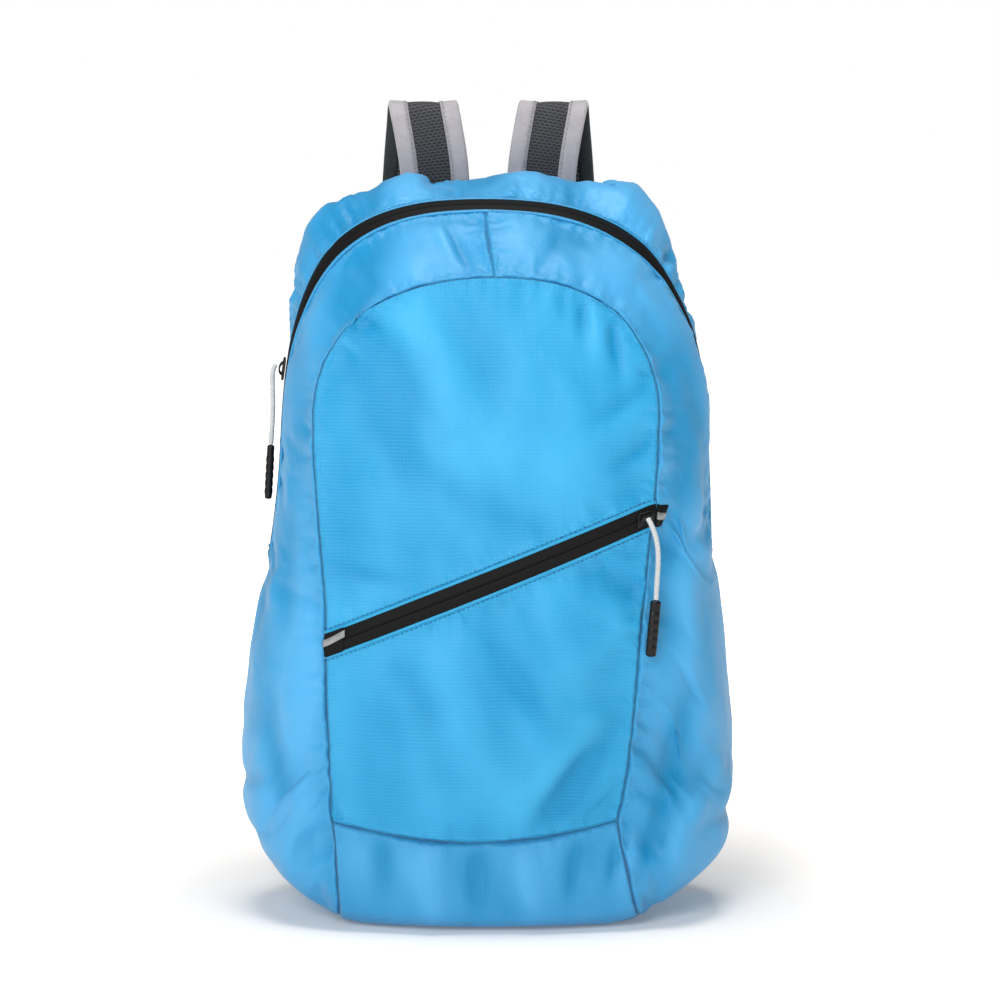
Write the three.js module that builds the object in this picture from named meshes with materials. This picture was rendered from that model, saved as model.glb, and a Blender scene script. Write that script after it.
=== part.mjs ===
// A packable backpack, standing stuffed on its base, in millimetres with +Z up.
// The front faces -Y, the shoulder straps are on the +Y side, and the origin is on the floor
// under the middle of the base. The bag is a skin of sewn panels: one shared grid of quads
// gives every panel its edge, so neighbours meet along a seam with a small gap.
import * as THREE from "three";

// Bag
const bagHeight = 443;
const bagWidth = 292;
const bagDepth = 150;
const clothThickness = 1.2;
const seamGap = 0.4;

// Front panel and its pocket zip
const frontPanelWidth = 210;
const frontPanelTop = 387;
const frontPanelBottom = 56;
const frontPanelSwell = 13;
const zipTapeWidth = 14;
const pocketZipLeft = 171;
const pocketZipRight = 249;

// Back panel
const backPanelWidth = 230;
const backPanelBottom = 26;
const backPanelSwell = 7;
const backPanelDrop = 6;

// Main zip
const mainZipTop = 426;
const topSwell = 3;

// Shoulder straps
const strapWidth = 42;
const padThickness = 3.4;
const bindingWidth = 10;
const bindingThickness = 0.8;
const bindingRoom = 0.45;
const strapTop = 487;
const strapSpacing = 73;
const strapRoomBehind = 50;
const padEnd = 196;

// Webbing and ladder locks at the lower ends of the straps
const webbingWidth = 20;
const webbingThickness = 1.4;
const lockWidth = 30;
const lockLength = 26;
const lockThickness = 3.6;
const lockBar = 4;
const lockFromPad = 3;
const loopOnPad = 12;
const tailLength = 62;
const anchorHeight = 46;
const anchorSpacing = 168;
const anchorLength = 16;

// Zip sliders, pull cords and grips
const sliderLength = 11;
const sliderWidth = 8.5;
const sliderHeight = 3.4;
const cordDiameter = 3;
const cordSides = 8;
const gripWidth = 6.4;
const gripThickness = 4.6;
const gripLength = 32;
const mainSliderHeight = 330;

// Tabs at the ends of the pocket zip
const leftTabLength = 13;
const rightTabLength = 8;
const tabThickness = 0.9;
const stripeWidth = 6;
const stripeThickness = 0.5;

const restGap = 0.3;
const wrapGap = 0.42;
const trimLift = 0.45;

// Quads along the top or bottom of a panel, up its side, and from front seam to back seam
const acrossCells = 12;
const sideCells = 24;
const frontRows = 5;
const rearRows = 6;
const ringRows = frontRows + 1 + rearRows;
const ringColumns = 2 * (acrossCells + sideCells);
const zipRow = frontRows;
const pocketZipRow = 11;
const mainZipEndColumn = 13;

// Horizontal measures of the bag by height: up is a share of bagHeight, front of half of
// frontPanelWidth, full and rear of half of bagWidth, back of half of backPanelWidth, forward and
// rearward of half of bagDepth. The lean columns say how far each outline stands to the right, as
// shares of bagWidth.
const sections = [
  { up: 0.0, front: 0.77, full: 0.93, rear: 0.9, back: 0.95, forward: 0.78, rearward: 0.84,
    frontLean: -0.03, fullLean: 0.002, rearLean: 0, backLean: 0 },
  { up: 0.12, front: 0.79, full: 0.985, rear: 0.95, back: 1.0, forward: 0.86, rearward: 0.9,
    frontLean: -0.03, fullLean: 0.002, rearLean: 0, backLean: 0 },
  { up: 0.22, front: 0.84, full: 1.0, rear: 0.97, back: 1.0, forward: 0.9, rearward: 0.92,
    frontLean: -0.018, fullLean: 0.001, rearLean: 0, backLean: 0 },
  { up: 0.33, front: 0.87, full: 0.98, rear: 0.95, back: 0.98, forward: 0.9, rearward: 0.92,
    frontLean: -0.013, fullLean: 0.001, rearLean: 0, backLean: 0 },
  { up: 0.45, front: 0.895, full: 0.935, rear: 0.91, back: 0.95, forward: 0.87, rearward: 0.92,
    frontLean: -0.007, fullLean: 0.004, rearLean: 0.002, backLean: 0 },
  { up: 0.58, front: 0.95, full: 0.9, rear: 0.87, back: 0.93, forward: 0.83, rearward: 0.91,
    frontLean: -0.004, fullLean: 0.014, rearLean: 0.006, backLean: 0 },
  { up: 0.7, front: 0.975, full: 0.88, rear: 0.84, back: 0.91, forward: 0.76, rearward: 0.89,
    frontLean: -0.004, fullLean: 0.015, rearLean: 0.004, backLean: 0 },
  { up: 0.8, front: 0.955, full: 0.845, rear: 0.81, back: 0.89, forward: 0.68, rearward: 0.86,
    frontLean: 0.0, fullLean: 0.013, rearLean: 0, backLean: 0 },
  { up: 0.9, front: 0.94, full: 0.81, rear: 0.79, back: 0.87, forward: 0.57, rearward: 0.82,
    frontLean: 0.02, fullLean: 0.002, rearLean: -0.01, backLean: -0.004 },
  { up: 1.0, front: 0.94, full: 0.79, rear: 0.78, back: 0.86, forward: 0.5, rearward: 0.78,
    frontLean: 0.025, fullLean: -0.012, rearLean: -0.016, backLean: -0.006 },
];

// Outlines that run round the bag, from the front seam to the back seam. width names the column of
// sections that it follows and share how much of it; bottom and top are heights; arch and corner
// are the shares of the outline's height that its rounded top and bottom take, and their powers say
// how square these are, 0 for a bottom that sags between two sharp corners; depth goes from -1 at
// the front seam to 1 at the back seam at the sides, topDepth does at the top and bottomDepth at the
// bottom; bow is how far the middle stands out from the ends, as a share of bagDepth.
const outlines = [
  { width: "front", share: 1, bottom: frontPanelBottom, top: frontPanelTop, bow: -0.075,
    arch: 0.24, archPower: 2.25, corner: 0.035, cornerPower: 0, depth: -1, topDepth: -1, bottomDepth: -1 },
  { width: "full", share: 0.955, bottom: -0.004 * bagHeight, top: (frontPanelTop + mainZipTop) / 2 + topSwell, bow: -0.11,
    arch: 0.25, archPower: 2.5, corner: 0.17, cornerPower: 2.7, depth: -0.52, topDepth: -0.5, bottomDepth: -0.96 },
  { width: "full", share: 1, bottom: -0.012 * bagHeight, top: mainZipTop, bow: 0,
    arch: 0.26, archPower: 2.6, corner: 0.2, cornerPower: 2.6, depth: 0.06, topDepth: -0.33, bottomDepth: -0.05 },
  { width: "rear", share: 1, bottom: -0.007 * bagHeight, top: bagHeight, bow: 0.03,
    arch: 0.15, archPower: 3.3, corner: 0.17, cornerPower: 2.7, depth: 0.62, topDepth: 0.4, bottomDepth: 0.84 },
  { width: "back", share: 1, bottom: backPanelBottom, top: bagHeight - backPanelDrop, bow: 0.03,
    arch: 0.13, archPower: 2.9, corner: 0.1, cornerPower: 2.6, depth: 1, topDepth: 1, bottomDepth: 1 },
];

// Broad folds and dents of the stuffed cloth. across is a share of half of bagWidth, up and length
// of bagHeight, breadth of bagWidth and depth of bagDepth, positive for a ridge; run is the angle
// from upright, in degrees, positive leaning to the right; face is where the fold lies.
const folds = [
  { face: "front", across: -0.3, up: 0.69, run: -24, length: 0.2, breadth: 0.075, depth: 0.026 },
  { face: "front", across: -0.47, up: 0.6, run: -18, length: 0.26, breadth: 0.085, depth: -0.022 },
  { face: "front", across: 0.42, up: 0.77, run: 6, length: 0.1, breadth: 0.045, depth: -0.024 },
  { face: "front", across: 0.58, up: 0.74, run: -8, length: 0.11, breadth: 0.04, depth: 0.016 },
  { face: "front", across: 0.52, up: 0.59, run: -58, length: 0.09, breadth: 0.045, depth: -0.018 },
  { face: "front", across: 0.36, up: 0.19, run: 42, length: 0.13, breadth: 0.05, depth: -0.026 },
  { face: "front", across: 0.12, up: 0.2, run: 30, length: 0.15, breadth: 0.08, depth: 0.016 },
  { face: "front", across: -0.3, up: 0.07, run: 0, length: 0.07, breadth: 0.05, depth: 0.02 },
  { face: "front", across: 0.05, up: 0.06, run: 0, length: 0.07, breadth: 0.05, depth: -0.016 },
  { face: "front", across: 0.28, up: 0.07, run: 0, length: 0.07, breadth: 0.045, depth: 0.018 },
  { face: "front", across: -0.12, up: 0.915, run: -30, length: 0.05, breadth: 0.05, depth: -0.03 },
  { face: "front", across: 0.84, up: 0.3, run: 12, length: 0.2, breadth: 0.05, depth: 0.02 },
  { face: "back", across: 0.0, up: 0.45, run: 0, length: 0.35, breadth: 0.2, depth: -0.02 },
  { face: "back", across: -0.35, up: 0.25, run: 30, length: 0.16, breadth: 0.08, depth: -0.02 },
  { face: "back", across: 0.35, up: 0.22, run: -30, length: 0.16, breadth: 0.08, depth: -0.02 },
];

// Gathers along the top of the rear gusset: two trains of waves, the second with more of them and
// less height. centre and reach are shares of the band's depth behind the main zip.
const gathers = [
  { count: 6, height: 1.7, phase: 0, centre: 0.55, reach: 0.24 },
  { count: 10, height: 0.9, phase: 1, centre: 0.55, reach: 0.24 },
];

const colours = {
  ripstop: 0x2f9fdc,
  plainCloth: 0x4a9ee0,
  tape: 0x1c1c1e,
  mesh: 0x3c3f45,
  binding: 0x98939a,
  webbing: 0x1f2226,
  plastic: 0x141416,
  cord: 0xc9cbcb,
  reflective: 0x9b9ea0,
};

function finish(colour, roughness, metalness = 0) {
  return new THREE.MeshStandardMaterial({ color: colour, roughness, metalness });
}

const materials = {
  ripstop: finish(colours.ripstop, 0.45),
  plainCloth: finish(colours.plainCloth, 0.5),
  tape: finish(colours.tape, 0.5),
  mesh: finish(colours.mesh, 0.9),
  binding: finish(colours.binding, 0.8),
  webbing: finish(colours.webbing, 0.8),
  plastic: finish(colours.plastic, 0.4),
  cord: finish(colours.cord, 0.7),
  reflective: finish(colours.reflective, 0.35),
};

const bag = new THREE.Group();

function addMesh(name, geometry, material) {
  const mesh = new THREE.Mesh(geometry, material);
  mesh.name = name;
  bag.add(mesh);
  return mesh;
}

// A measure of the sections at a height, smooth between the rows.
function sectionAt(column, height) {
  const up = THREE.MathUtils.clamp(height / bagHeight, 0, 1);
  let low = 0;
  while (low < sections.length - 2 && sections[low + 1].up < up) low += 1;
  const before = sections[Math.max(low - 1, 0)];
  const a = sections[low];
  const b = sections[low + 1];
  const after = sections[Math.min(low + 2, sections.length - 1)];
  const t = (up - a.up) / (b.up - a.up);
  const slope = (p, q) => (q === p ? 0 : (q[column] - p[column]) / (q.up - p.up));
  const span = b.up - a.up;
  const startSlope = slope(before, b) * span;
  const endSlope = slope(a, after) * span;
  return (
    (2 * t ** 3 - 3 * t ** 2 + 1) * a[column] + (t ** 3 - 2 * t ** 2 + t) * startSlope +
    (3 * t ** 2 - 2 * t ** 3) * b[column] + (t ** 3 - t ** 2) * endSlope
  );
}

const halfWidthOf = { front: frontPanelWidth / 2, full: bagWidth / 2, rear: bagWidth / 2, back: backPanelWidth / 2 };

// The point of an outline: side is -1 or 1, across from 0 to 1 and up from 0 to 1.
function outlinePoint(outline, side, across, up) {
  const z = THREE.MathUtils.lerp(outline.bottom, outline.top, up);
  const halfWidth = halfWidthOf[outline.width] * sectionAt(outline.width, z) * outline.share;
  const x = side * across * halfWidth + sectionAt(`${outline.width}Lean`, z) * bagWidth;
  const forward = -sectionAt("forward", z) * bagDepth / 2;
  const rearward = sectionAt("rearward", z) * bagDepth / 2;
  const towardsTop = THREE.MathUtils.smoothstep(up, 1 - outline.arch, 1);
  const towardsBottom = 1 - THREE.MathUtils.smoothstep(up, 0, outline.corner);
  const depth = outline.depth + (outline.topDepth - outline.depth) * towardsTop +
    (outline.bottomDepth - outline.depth) * towardsBottom;
  const bow = outline.bow * bagDepth * (1 - across ** 2);
  const y = THREE.MathUtils.lerp(forward, rearward, (depth + 1) / 2) + bow;
  return new THREE.Vector3(x, y, z);
}

const cornerAngle = Math.PI / 5;
const shoulderAngle = Math.PI / 4;
const outlineSteps = 40;

// One stretch of an outline as points, with the distance along it.
function stretch(pointAt) {
  const points = [];
  const lengths = [0];
  for (let i = 0; i <= outlineSteps; i += 1) {
    points.push(pointAt(i / outlineSteps));
    if (i > 0) lengths.push(lengths[i - 1] + points[i].distanceTo(points[i - 1]));
  }
  return { points, lengths };
}

function alongStretch({ points, lengths }, share) {
  const wanted = share * lengths[lengths.length - 1];
  let i = 1;
  while (i < lengths.length - 1 && lengths[i] < wanted) i += 1;
  const t = (wanted - lengths[i - 1]) / (lengths[i] - lengths[i - 1]);
  return points[i - 1].clone().lerp(points[i], t);
}

// The share of a rising stretch at which it reaches a height.
function shareAtHeight({ points, lengths }, height) {
  let i = 1;
  while (i < points.length - 1 && points[i].z < height) i += 1;
  const t = (height - points[i - 1].z) / (points[i].z - points[i - 1].z);
  return (lengths[i - 1] + t * (lengths[i] - lengths[i - 1])) / lengths[lengths.length - 1];
}

// The bottom, side and top stretches of one half of an outline, from bottom centre to top centre.
function halfOutline(outline, side) {
  const round = (angle, power) => [
    Math.max(Math.cos(angle), 0) ** (2 / power),
    Math.max(Math.sin(angle), 0) ** (2 / power),
  ];
  const sharp = outline.cornerPower === 0;
  const bottomPoint = (angle) => {
    const sag = Math.min(angle / cornerAngle, 1);
    if (sharp) return outlinePoint(outline, side, sag, outline.corner * sag ** 2);
    const [rise, out] = round(angle, outline.cornerPower);
    return outlinePoint(outline, side, out, outline.corner * (1 - rise));
  };
  const topPoint = (angle) => {
    const [out, rise] = round(angle, outline.archPower);
    return outlinePoint(outline, side, out, 1 - outline.arch + outline.arch * rise);
  };
  const quarter = Math.PI / 2;
  const bottom = stretch((t) => bottomPoint(t * cornerAngle));
  const sideRun = stretch((t) => {
    const cornerEnd = sharp ? 0 : 0.2;
    const archStart = 0.7;
    if (t < cornerEnd) return bottomPoint(THREE.MathUtils.lerp(cornerAngle, quarter, t / cornerEnd));
    if (t > archStart) return topPoint(THREE.MathUtils.lerp(0, shoulderAngle, (t - archStart) / (1 - archStart)));
    const up = THREE.MathUtils.lerp(outline.corner, 1 - outline.arch, (t - cornerEnd) / (archStart - cornerEnd));
    return outlinePoint(outline, side, 1, up);
  });
  const top = stretch((t) => topPoint(THREE.MathUtils.lerp(shoulderAngle, quarter, t)));
  return { bottom, sideRun, top };
}

// Where a side's cells end: evenly, or on the front seam with one cell as high as the zip tape.
function sideShare(cell, run, zipHeight) {
  if (zipHeight === null) return cell / sideCells;
  const rise = (pocketZipRight - pocketZipLeft) / frontPanelWidth;
  const halfTape = (zipTapeWidth / 2) * Math.hypot(1, rise);
  const low = shareAtHeight(run, zipHeight - halfTape);
  const high = shareAtHeight(run, zipHeight + halfTape);
  if (cell <= pocketZipRow) return (low * cell) / pocketZipRow;
  return high + ((1 - high) * (cell - pocketZipRow - 1)) / (sideCells - pocketZipRow - 1);
}

// The points of an outline at the grid's columns: up the left side, over the top, down the right
// side and back along the bottom.
function outlineColumns(outline, isFrontSeam) {
  const left = halfOutline(outline, -1);
  const right = halfOutline(outline, 1);
  const half = acrossCells / 2;
  const points = [];
  for (let cell = 0; cell < sideCells; cell += 1) {
    const share = sideShare(cell, left.sideRun, isFrontSeam ? pocketZipLeft : null);
    points.push(alongStretch(left.sideRun, share));
  }
  for (let cell = 0; cell < acrossCells; cell += 1) {
    points.push(cell < half ? alongStretch(left.top, cell / half) : alongStretch(right.top, 2 - cell / half));
  }
  for (let cell = sideCells; cell > 0; cell -= 1) {
    const share = sideShare(cell, right.sideRun, isFrontSeam ? pocketZipRight : null);
    points.push(alongStretch(right.sideRun, share));
  }
  for (let cell = acrossCells; cell > 0; cell -= 1) {
    points.push(cell > half ? alongStretch(right.bottom, cell / half - 1) : alongStretch(left.bottom, 1 - cell / half));
  }
  return points;
}

// The rows of one column, from front seam to back seam, with one row as wide as the zip tape.
function columnRows(controlPoints) {
  const curve = new THREE.CatmullRomCurve3(controlPoints, false, "centripetal");
  const divisions = 100;
  const lengths = curve.getLengths(divisions);
  const total = lengths[divisions];
  const zipCentre = lengths[divisions / 2];
  const rows = [];
  for (let row = 0; row <= ringRows; row += 1) {
    const along = row <= zipRow
      ? ((zipCentre - zipTapeWidth / 2) * row) / zipRow
      : zipCentre + zipTapeWidth / 2 +
        ((total - zipCentre - zipTapeWidth / 2) * (row - zipRow - 1)) / rearRows;
    rows.push(curve.getPointAt(Math.min(along / total, 1)));
  }
  return rows;
}

// The skin: grid points by key, and quads with the panel each belongs to.
const ring = (() => {
  const columns = outlines.map((outline, i) => outlineColumns(outline, i === 0));
  return Array.from({ length: ringColumns }, (_, c) => columnRows(columns.map((points) => points[c])));
})();

const skinPoints = [];
const skinQuads = [];
const ringIndex = ring.map((rows) => rows.map((point) => skinPoints.push(point) - 1));

// The ring's column beside a panel's edge cell.
function edgeColumn(i, j) {
  if (i === 0) return j;
  if (j === sideCells) return sideCells + i;
  if (i === acrossCells) return 2 * sideCells + acrossCells - j;
  if (j === 0) return (ringColumns - i) % ringColumns;
  return null;
}

// A panel closes one end of the ring: straight rows from side to side, bowed to its top and bottom
// edges, and swollen outwards in the middle.
function addEndPanel(row, swell, nameOfRow, facesFront) {
  const edge = (i, j) => skinPoints[ringIndex[edgeColumn(i, j)][row]];
  const indices = [];
  for (let i = 0; i <= acrossCells; i += 1) {
    indices.push([]);
    for (let j = 0; j <= sideCells; j += 1) {
      const column = edgeColumn(i, j);
      if (column !== null) {
        indices[i].push(ringIndex[column][row]);
        continue;
      }
      const u = i / acrossCells;
      const v = j / sideCells;
      const bow = (edgeRow) => edge(i, edgeRow).clone()
        .sub(edge(0, edgeRow).clone().lerp(edge(acrossCells, edgeRow), u));
      const point = edge(0, j).clone().lerp(edge(acrossCells, j), u)
        .addScaledVector(bow(sideCells), v ** 3)
        .addScaledVector(bow(0), (1 - v) ** 3);
      const fullness = (4 * u * (1 - u)) ** 0.75 * (4 * v * (1 - v)) ** 0.6;
      point.y += (facesFront ? -1 : 1) * swell * fullness;
      indices[i].push(skinPoints.push(point) - 1);
    }
  }
  for (let i = 0; i < acrossCells; i += 1) {
    for (let j = 0; j < sideCells; j += 1) {
      const quad = [indices[i][j], indices[i + 1][j], indices[i + 1][j + 1], indices[i][j + 1]];
      skinQuads.push({ corners: facesFront ? quad : quad.reverse(), panel: nameOfRow(j) });
    }
  }
  return indices;
}

function ringPanel(column, row) {
  const topCentre = sideCells + acrossCells / 2;
  if (column >= 2 * sideCells + acrossCells) return "base_panel";
  const besideZip = column >= mainZipEndColumn && column < 2 * topCentre - mainZipEndColumn;
  if (besideZip && row === zipRow) return "main_zipper";
  if (besideZip && row > zipRow) return "rear_gusset";
  return column < topCentre ? "side_gusset_left" : "side_gusset_right";
}

function addRing() {
  for (let c = 0; c < ringColumns; c += 1) {
    const next = (c + 1) % ringColumns;
    for (let row = 0; row < ringRows; row += 1) {
      const corners = [ringIndex[c][row], ringIndex[next][row], ringIndex[next][row + 1], ringIndex[c][row + 1]];
      skinQuads.push({ corners, panel: ringPanel(c, row) });
    }
  }
}

const frontIndex = addEndPanel(0, frontPanelSwell, (j) => {
  if (j === pocketZipRow) return "pocket_zipper";
  return j < pocketZipRow ? "front_panel_lower" : "front_panel_upper";
}, true);
addEndPanel(ringRows, backPanelSwell, () => "back_panel", false);
addRing();

function quadNormal([a, b, c, d]) {
  const [p, q, r, s] = [a, b, c, d].map((index) => skinPoints[index]);
  return r.clone().sub(p).cross(s.clone().sub(q));
}

function skinNormals() {
  const normals = skinPoints.map(() => new THREE.Vector3());
  for (const { corners } of skinQuads) {
    const normal = quadNormal(corners);
    for (const index of corners) normals[index].add(normal);
  }
  return normals.map((normal) => normal.normalize());
}

// How far a fold moves the cloth at a point of the skin.
function foldHeight(fold, point, normal) {
  const facing = fold.face === "front" ? -normal.y : normal.y;
  const lit = THREE.MathUtils.smoothstep(facing, 0.1, 0.6);
  const dx = point.x - (fold.across * bagWidth) / 2;
  const dz = point.z - fold.up * bagHeight;
  const run = THREE.MathUtils.degToRad(fold.run);
  const along = dx * Math.sin(run) + dz * Math.cos(run);
  const aside = dx * Math.cos(run) - dz * Math.sin(run);
  const length = (fold.length * bagHeight) / 2;
  const breadth = (fold.breadth * bagWidth) / 2;
  return fold.depth * bagDepth * lit * Math.exp(-((along / length) ** 2) - (aside / breadth) ** 2);
}

// The gathers lift the rear gusset behind the main zip, and die out towards the zip's ends.
function gatherHeight(column, row) {
  const share = (column - mainZipEndColumn) / (2 * (sideCells + acrossCells / 2 - mainZipEndColumn));
  if (share < 0 || share > 1 || row <= zipRow) return 0;
  const behindZip = (row - zipRow - 1) / rearRows;
  const lifts = gathers.map(({ count, height, phase, centre, reach }) =>
    height * Math.exp(-(((behindZip - centre) / reach) ** 2)) * Math.sin(2 * Math.PI * count * share + phase));
  return Math.sqrt(Math.sin(Math.PI * share)) * lifts.reduce((sum, lift) => sum + lift, 0);
}

function shapeSkin() {
  const normals = skinNormals();
  skinPoints.forEach((point, index) => {
    let height = 0;
    for (const fold of folds) height += foldHeight(fold, point, normals[index]);
    point.addScaledVector(normals[index], height);
  });
  ringIndex.forEach((rows, column) => rows.forEach((index, row) => {
    skinPoints[index].addScaledVector(normals[index], gatherHeight(column, row));
  }));
  for (const point of skinPoints) point.z = Math.max(point.z, 0);
}

shapeSkin();
const finalNormals = skinNormals();

// A closed solid from outer and inner point lists, quads that index both, and the rim between them.
function shellGeometry(outer, inner, quads) {
  const positions = [];
  const triangle = (...corners) => corners.forEach((point) => positions.push(point.x, point.y, point.z));
  const edges = new Map();
  for (const [a, b, c, d] of quads) {
    const shortAC = outer[a].distanceTo(outer[c]) <= outer[b].distanceTo(outer[d]);
    const halves = shortAC ? [[a, b, c], [a, c, d]] : [[a, b, d], [b, c, d]];
    for (const [p, q, r] of halves) {
      triangle(outer[p], outer[q], outer[r]);
      triangle(inner[r], inner[q], inner[p]);
    }
    for (const [p, q] of [[a, b], [b, c], [c, d], [d, a]]) edges.set(`${p},${q}`, [p, q]);
  }
  for (const [p, q] of edges.values()) {
    if (edges.has(`${q},${p}`)) continue;
    triangle(outer[q], outer[p], inner[p]);
    triangle(outer[q], inner[p], inner[q]);
  }
  const geometry = new THREE.BufferGeometry();
  geometry.setAttribute("position", new THREE.Float32BufferAttribute(positions, 3));
  geometry.computeVertexNormals();
  return geometry;
}

// One sewn panel: its quads of the skin, drawn in a little from the seams, with a cloth wall.
function panelGeometry(name) {
  const quads = skinQuads.filter((quad) => quad.panel === name).map((quad) => quad.corners);
  const middles = new Map();
  for (const corners of quads) {
    const middle = corners.reduce((sum, index) => sum.add(skinPoints[index]), new THREE.Vector3()).divideScalar(4);
    for (const index of corners) middles.set(index, [...(middles.get(index) ?? []), middle]);
  }
  const onSeam = new Set();
  const counts = new Map();
  for (const { corners } of skinQuads) for (const index of corners) counts.set(index, (counts.get(index) ?? 0) + 1);
  for (const [index, list] of middles) if (list.length < counts.get(index)) onSeam.add(index);
  const outer = {};
  const inner = {};
  for (const [index, list] of middles) {
    const point = skinPoints[index].clone();
    if (onSeam.has(index)) {
      const middle = list.reduce((sum, value) => sum.add(value), new THREE.Vector3()).divideScalar(list.length);
      const inwards = middle.sub(point).projectOnPlane(finalNormals[index]).normalize();
      point.addScaledVector(inwards, seamGap / 2);
      point.z = Math.max(point.z, 0);
    }
    outer[index] = point;
    inner[index] = point.clone().addScaledVector(finalNormals[index], -clothThickness);
  }
  return shellGeometry(outer, inner, quads);
}

const panelFinishes = {
  front_panel_upper: materials.ripstop,
  front_panel_lower: materials.ripstop,
  pocket_zipper: materials.tape,
  side_gusset_left: materials.plainCloth,
  side_gusset_right: materials.plainCloth,
  main_zipper: materials.tape,
  rear_gusset: materials.plainCloth,
  back_panel: materials.plainCloth,
  base_panel: materials.plainCloth,
};
const panels = Object.entries(panelFinishes).map(([name, material]) => addMesh(name, panelGeometry(name), material));

const X = new THREE.Vector3(1, 0, 0);
const Y = new THREE.Vector3(0, 1, 0);

// The face of the panels at x and height, looking along direction.
function surfaceDepth(x, z, direction) {
  const start = new THREE.Vector3(x, -direction.y * 2 * bagDepth, z);
  const hits = new THREE.Raycaster(start, direction).intersectObjects(panels);
  return hits.length > 0 ? hits[0].point.y : null;
}

// Frames along a path: the width stays as near as it can to widthAxis, the normal points to the
// outer face, and the mitre keeps the thickness in the bends.
function framesAlong(points, widthAxis = X) {
  const ahead = points.map((point, i) => (i < points.length - 1 ? points[i + 1].clone().sub(point).normalize() : null));
  ahead[points.length - 1] = ahead[points.length - 2];
  return points.map((point, i) => {
    const before = ahead[Math.max(i - 1, 0)];
    const tangent = before.clone().add(ahead[i]).normalize();
    const width = widthAxis.clone().projectOnPlane(tangent).normalize();
    const normal = width.clone().cross(tangent);
    const mitre = 1 / Math.max(before.dot(tangent), 0.5);
    return { point, tangent, width, normal, mitre };
  });
}

// A closed solid from a profile of [width, normal] pairs, anticlockwise, carried along frames.
function sweep(frames, profile) {
  const count = profile.length;
  const at = ({ point, width, normal, mitre, size = 1 }, [w, n]) =>
    point.clone().addScaledVector(width, w * size).addScaledVector(normal, n * mitre * size);
  const rings = frames.map((frame) => profile.map((pair) => at(frame, pair)));
  const positions = [];
  const triangle = (...corners) => corners.forEach((corner) => positions.push(corner.x, corner.y, corner.z));
  for (let i = 0; i < rings.length - 1; i += 1) {
    for (let k = 0; k < count; k += 1) {
      const next = (k + 1) % count;
      triangle(rings[i][k], rings[i + 1][next], rings[i][next]);
      triangle(rings[i][k], rings[i + 1][k], rings[i + 1][next]);
    }
  }
  const faces = THREE.ShapeUtils.triangulateShape(profile.map(([w, n]) => new THREE.Vector2(w, n)), []);
  const last = rings[rings.length - 1];
  for (const [a, b, c] of faces) {
    triangle(rings[0][a], rings[0][b], rings[0][c]);
    triangle(last[c], last[b], last[a]);
  }
  const geometry = new THREE.BufferGeometry();
  geometry.setAttribute("position", new THREE.Float32BufferAttribute(positions, 3));
  geometry.computeVertexNormals();
  return geometry;
}

function rectangle(width, thickness) {
  const [w, n] = [width / 2, thickness / 2];
  return [[w, -n], [w, n], [-w, n], [-w, -n]];
}

// Straps. up goes from padEnd at 0 to strapTop at 1, out is a share of half of strapSpacing, and
// behind is a share of strapRoomBehind, measured from where the strap lies on the back panel.
const strapRoute = [
  { up: 0.72, out: 0.86, behind: 0.0 },
  { up: 0.8, out: 0.88, behind: 0.0 },
  { up: 0.87, out: 0.91, behind: 0.0 },
  { up: 0.95, out: 1.01, behind: 0.04 },
  { up: 0.992, out: 1.08, behind: 0.13 },
  { up: 0.995, out: 1.11, behind: 0.27 },
  { up: 0.955, out: 1.14, behind: 0.38 },
  { up: 0.87, out: 1.2, behind: 0.52 },
  { up: 0.7, out: 1.3, behind: 0.82 },
  { up: 0.45, out: 1.45, behind: 1.0 },
  { up: 0.2, out: 1.58, behind: 0.84 },
  { up: 0.0, out: 1.68, behind: 0.56 },
];
const stationsPerRow = 3;
const strapThickness = padThickness + 2 * (bindingRoom + bindingThickness);

// How far back a band of some width and thickness must stand to lie on the back panel.
function restingDepth(x, z, width, thickness) {
  const depths = [-1, -0.5, 0, 0.5, 1].map((share) => surfaceDepth(x + (share * width) / 2, z, Y.clone().negate()));
  return Math.max(...depths) + restGap + thickness / 2;
}

function strapFrames(side) {
  const highestRest = bagHeight - backPanelSwell * 2;
  const controls = strapRoute.map(({ up, out, behind }) => {
    const z = THREE.MathUtils.lerp(padEnd, strapTop - strapThickness / 2, up);
    const x = (side * out * strapSpacing) / 2;
    const y = restingDepth(x, Math.min(z, highestRest), strapWidth, strapThickness) + behind * strapRoomBehind;
    return new THREE.Vector3(x, y, z);
  });
  const curve = new THREE.CatmullRomCurve3(controls, false, "centripetal");
  return framesAlong(curve.getPoints(stationsPerRow * (strapRoute.length - 1)));
}

// The pad's profile turns flat under the inner edges of the bindings, so that their facets match.
function padProfile() {
  const [w, n] = [strapWidth / 2 - bindingThickness - bindingRoom, padThickness / 2];
  const bound = strapWidth / 2 - bindingWidth;
  return [[w, -n], [w, n], [bound, n], [-bound, n], [-w, n], [-w, -n], [-bound, -n], [bound, -n]];
}

// One side's edge binding, folded round the edge of the pad.
function bindingProfile(edge) {
  const outer = strapWidth / 2;
  const inner = outer - bindingWidth;
  const half = strapThickness / 2;
  const profile = [
    [inner, half], [inner, half - bindingThickness],
    [outer - bindingThickness, half - bindingThickness], [outer - bindingThickness, bindingThickness - half],
    [inner, bindingThickness - half], [inner, -half], [outer, -half], [outer, half],
  ];
  return edge > 0 ? profile : profile.map(([w, n]) => [-w, n]).reverse();
}

// The corner of a lock bar that webbing goes round, as points from one side to the next.
function roundCorner([s, n], startAngle, turn) {
  const radius = webbingThickness / 2 + wrapGap;
  return [0, 0.5, 1].map((share) => {
    const angle = startAngle + share * turn;
    return [s + radius * Math.cos(angle), n + radius * Math.sin(angle)];
  });
}

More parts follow.
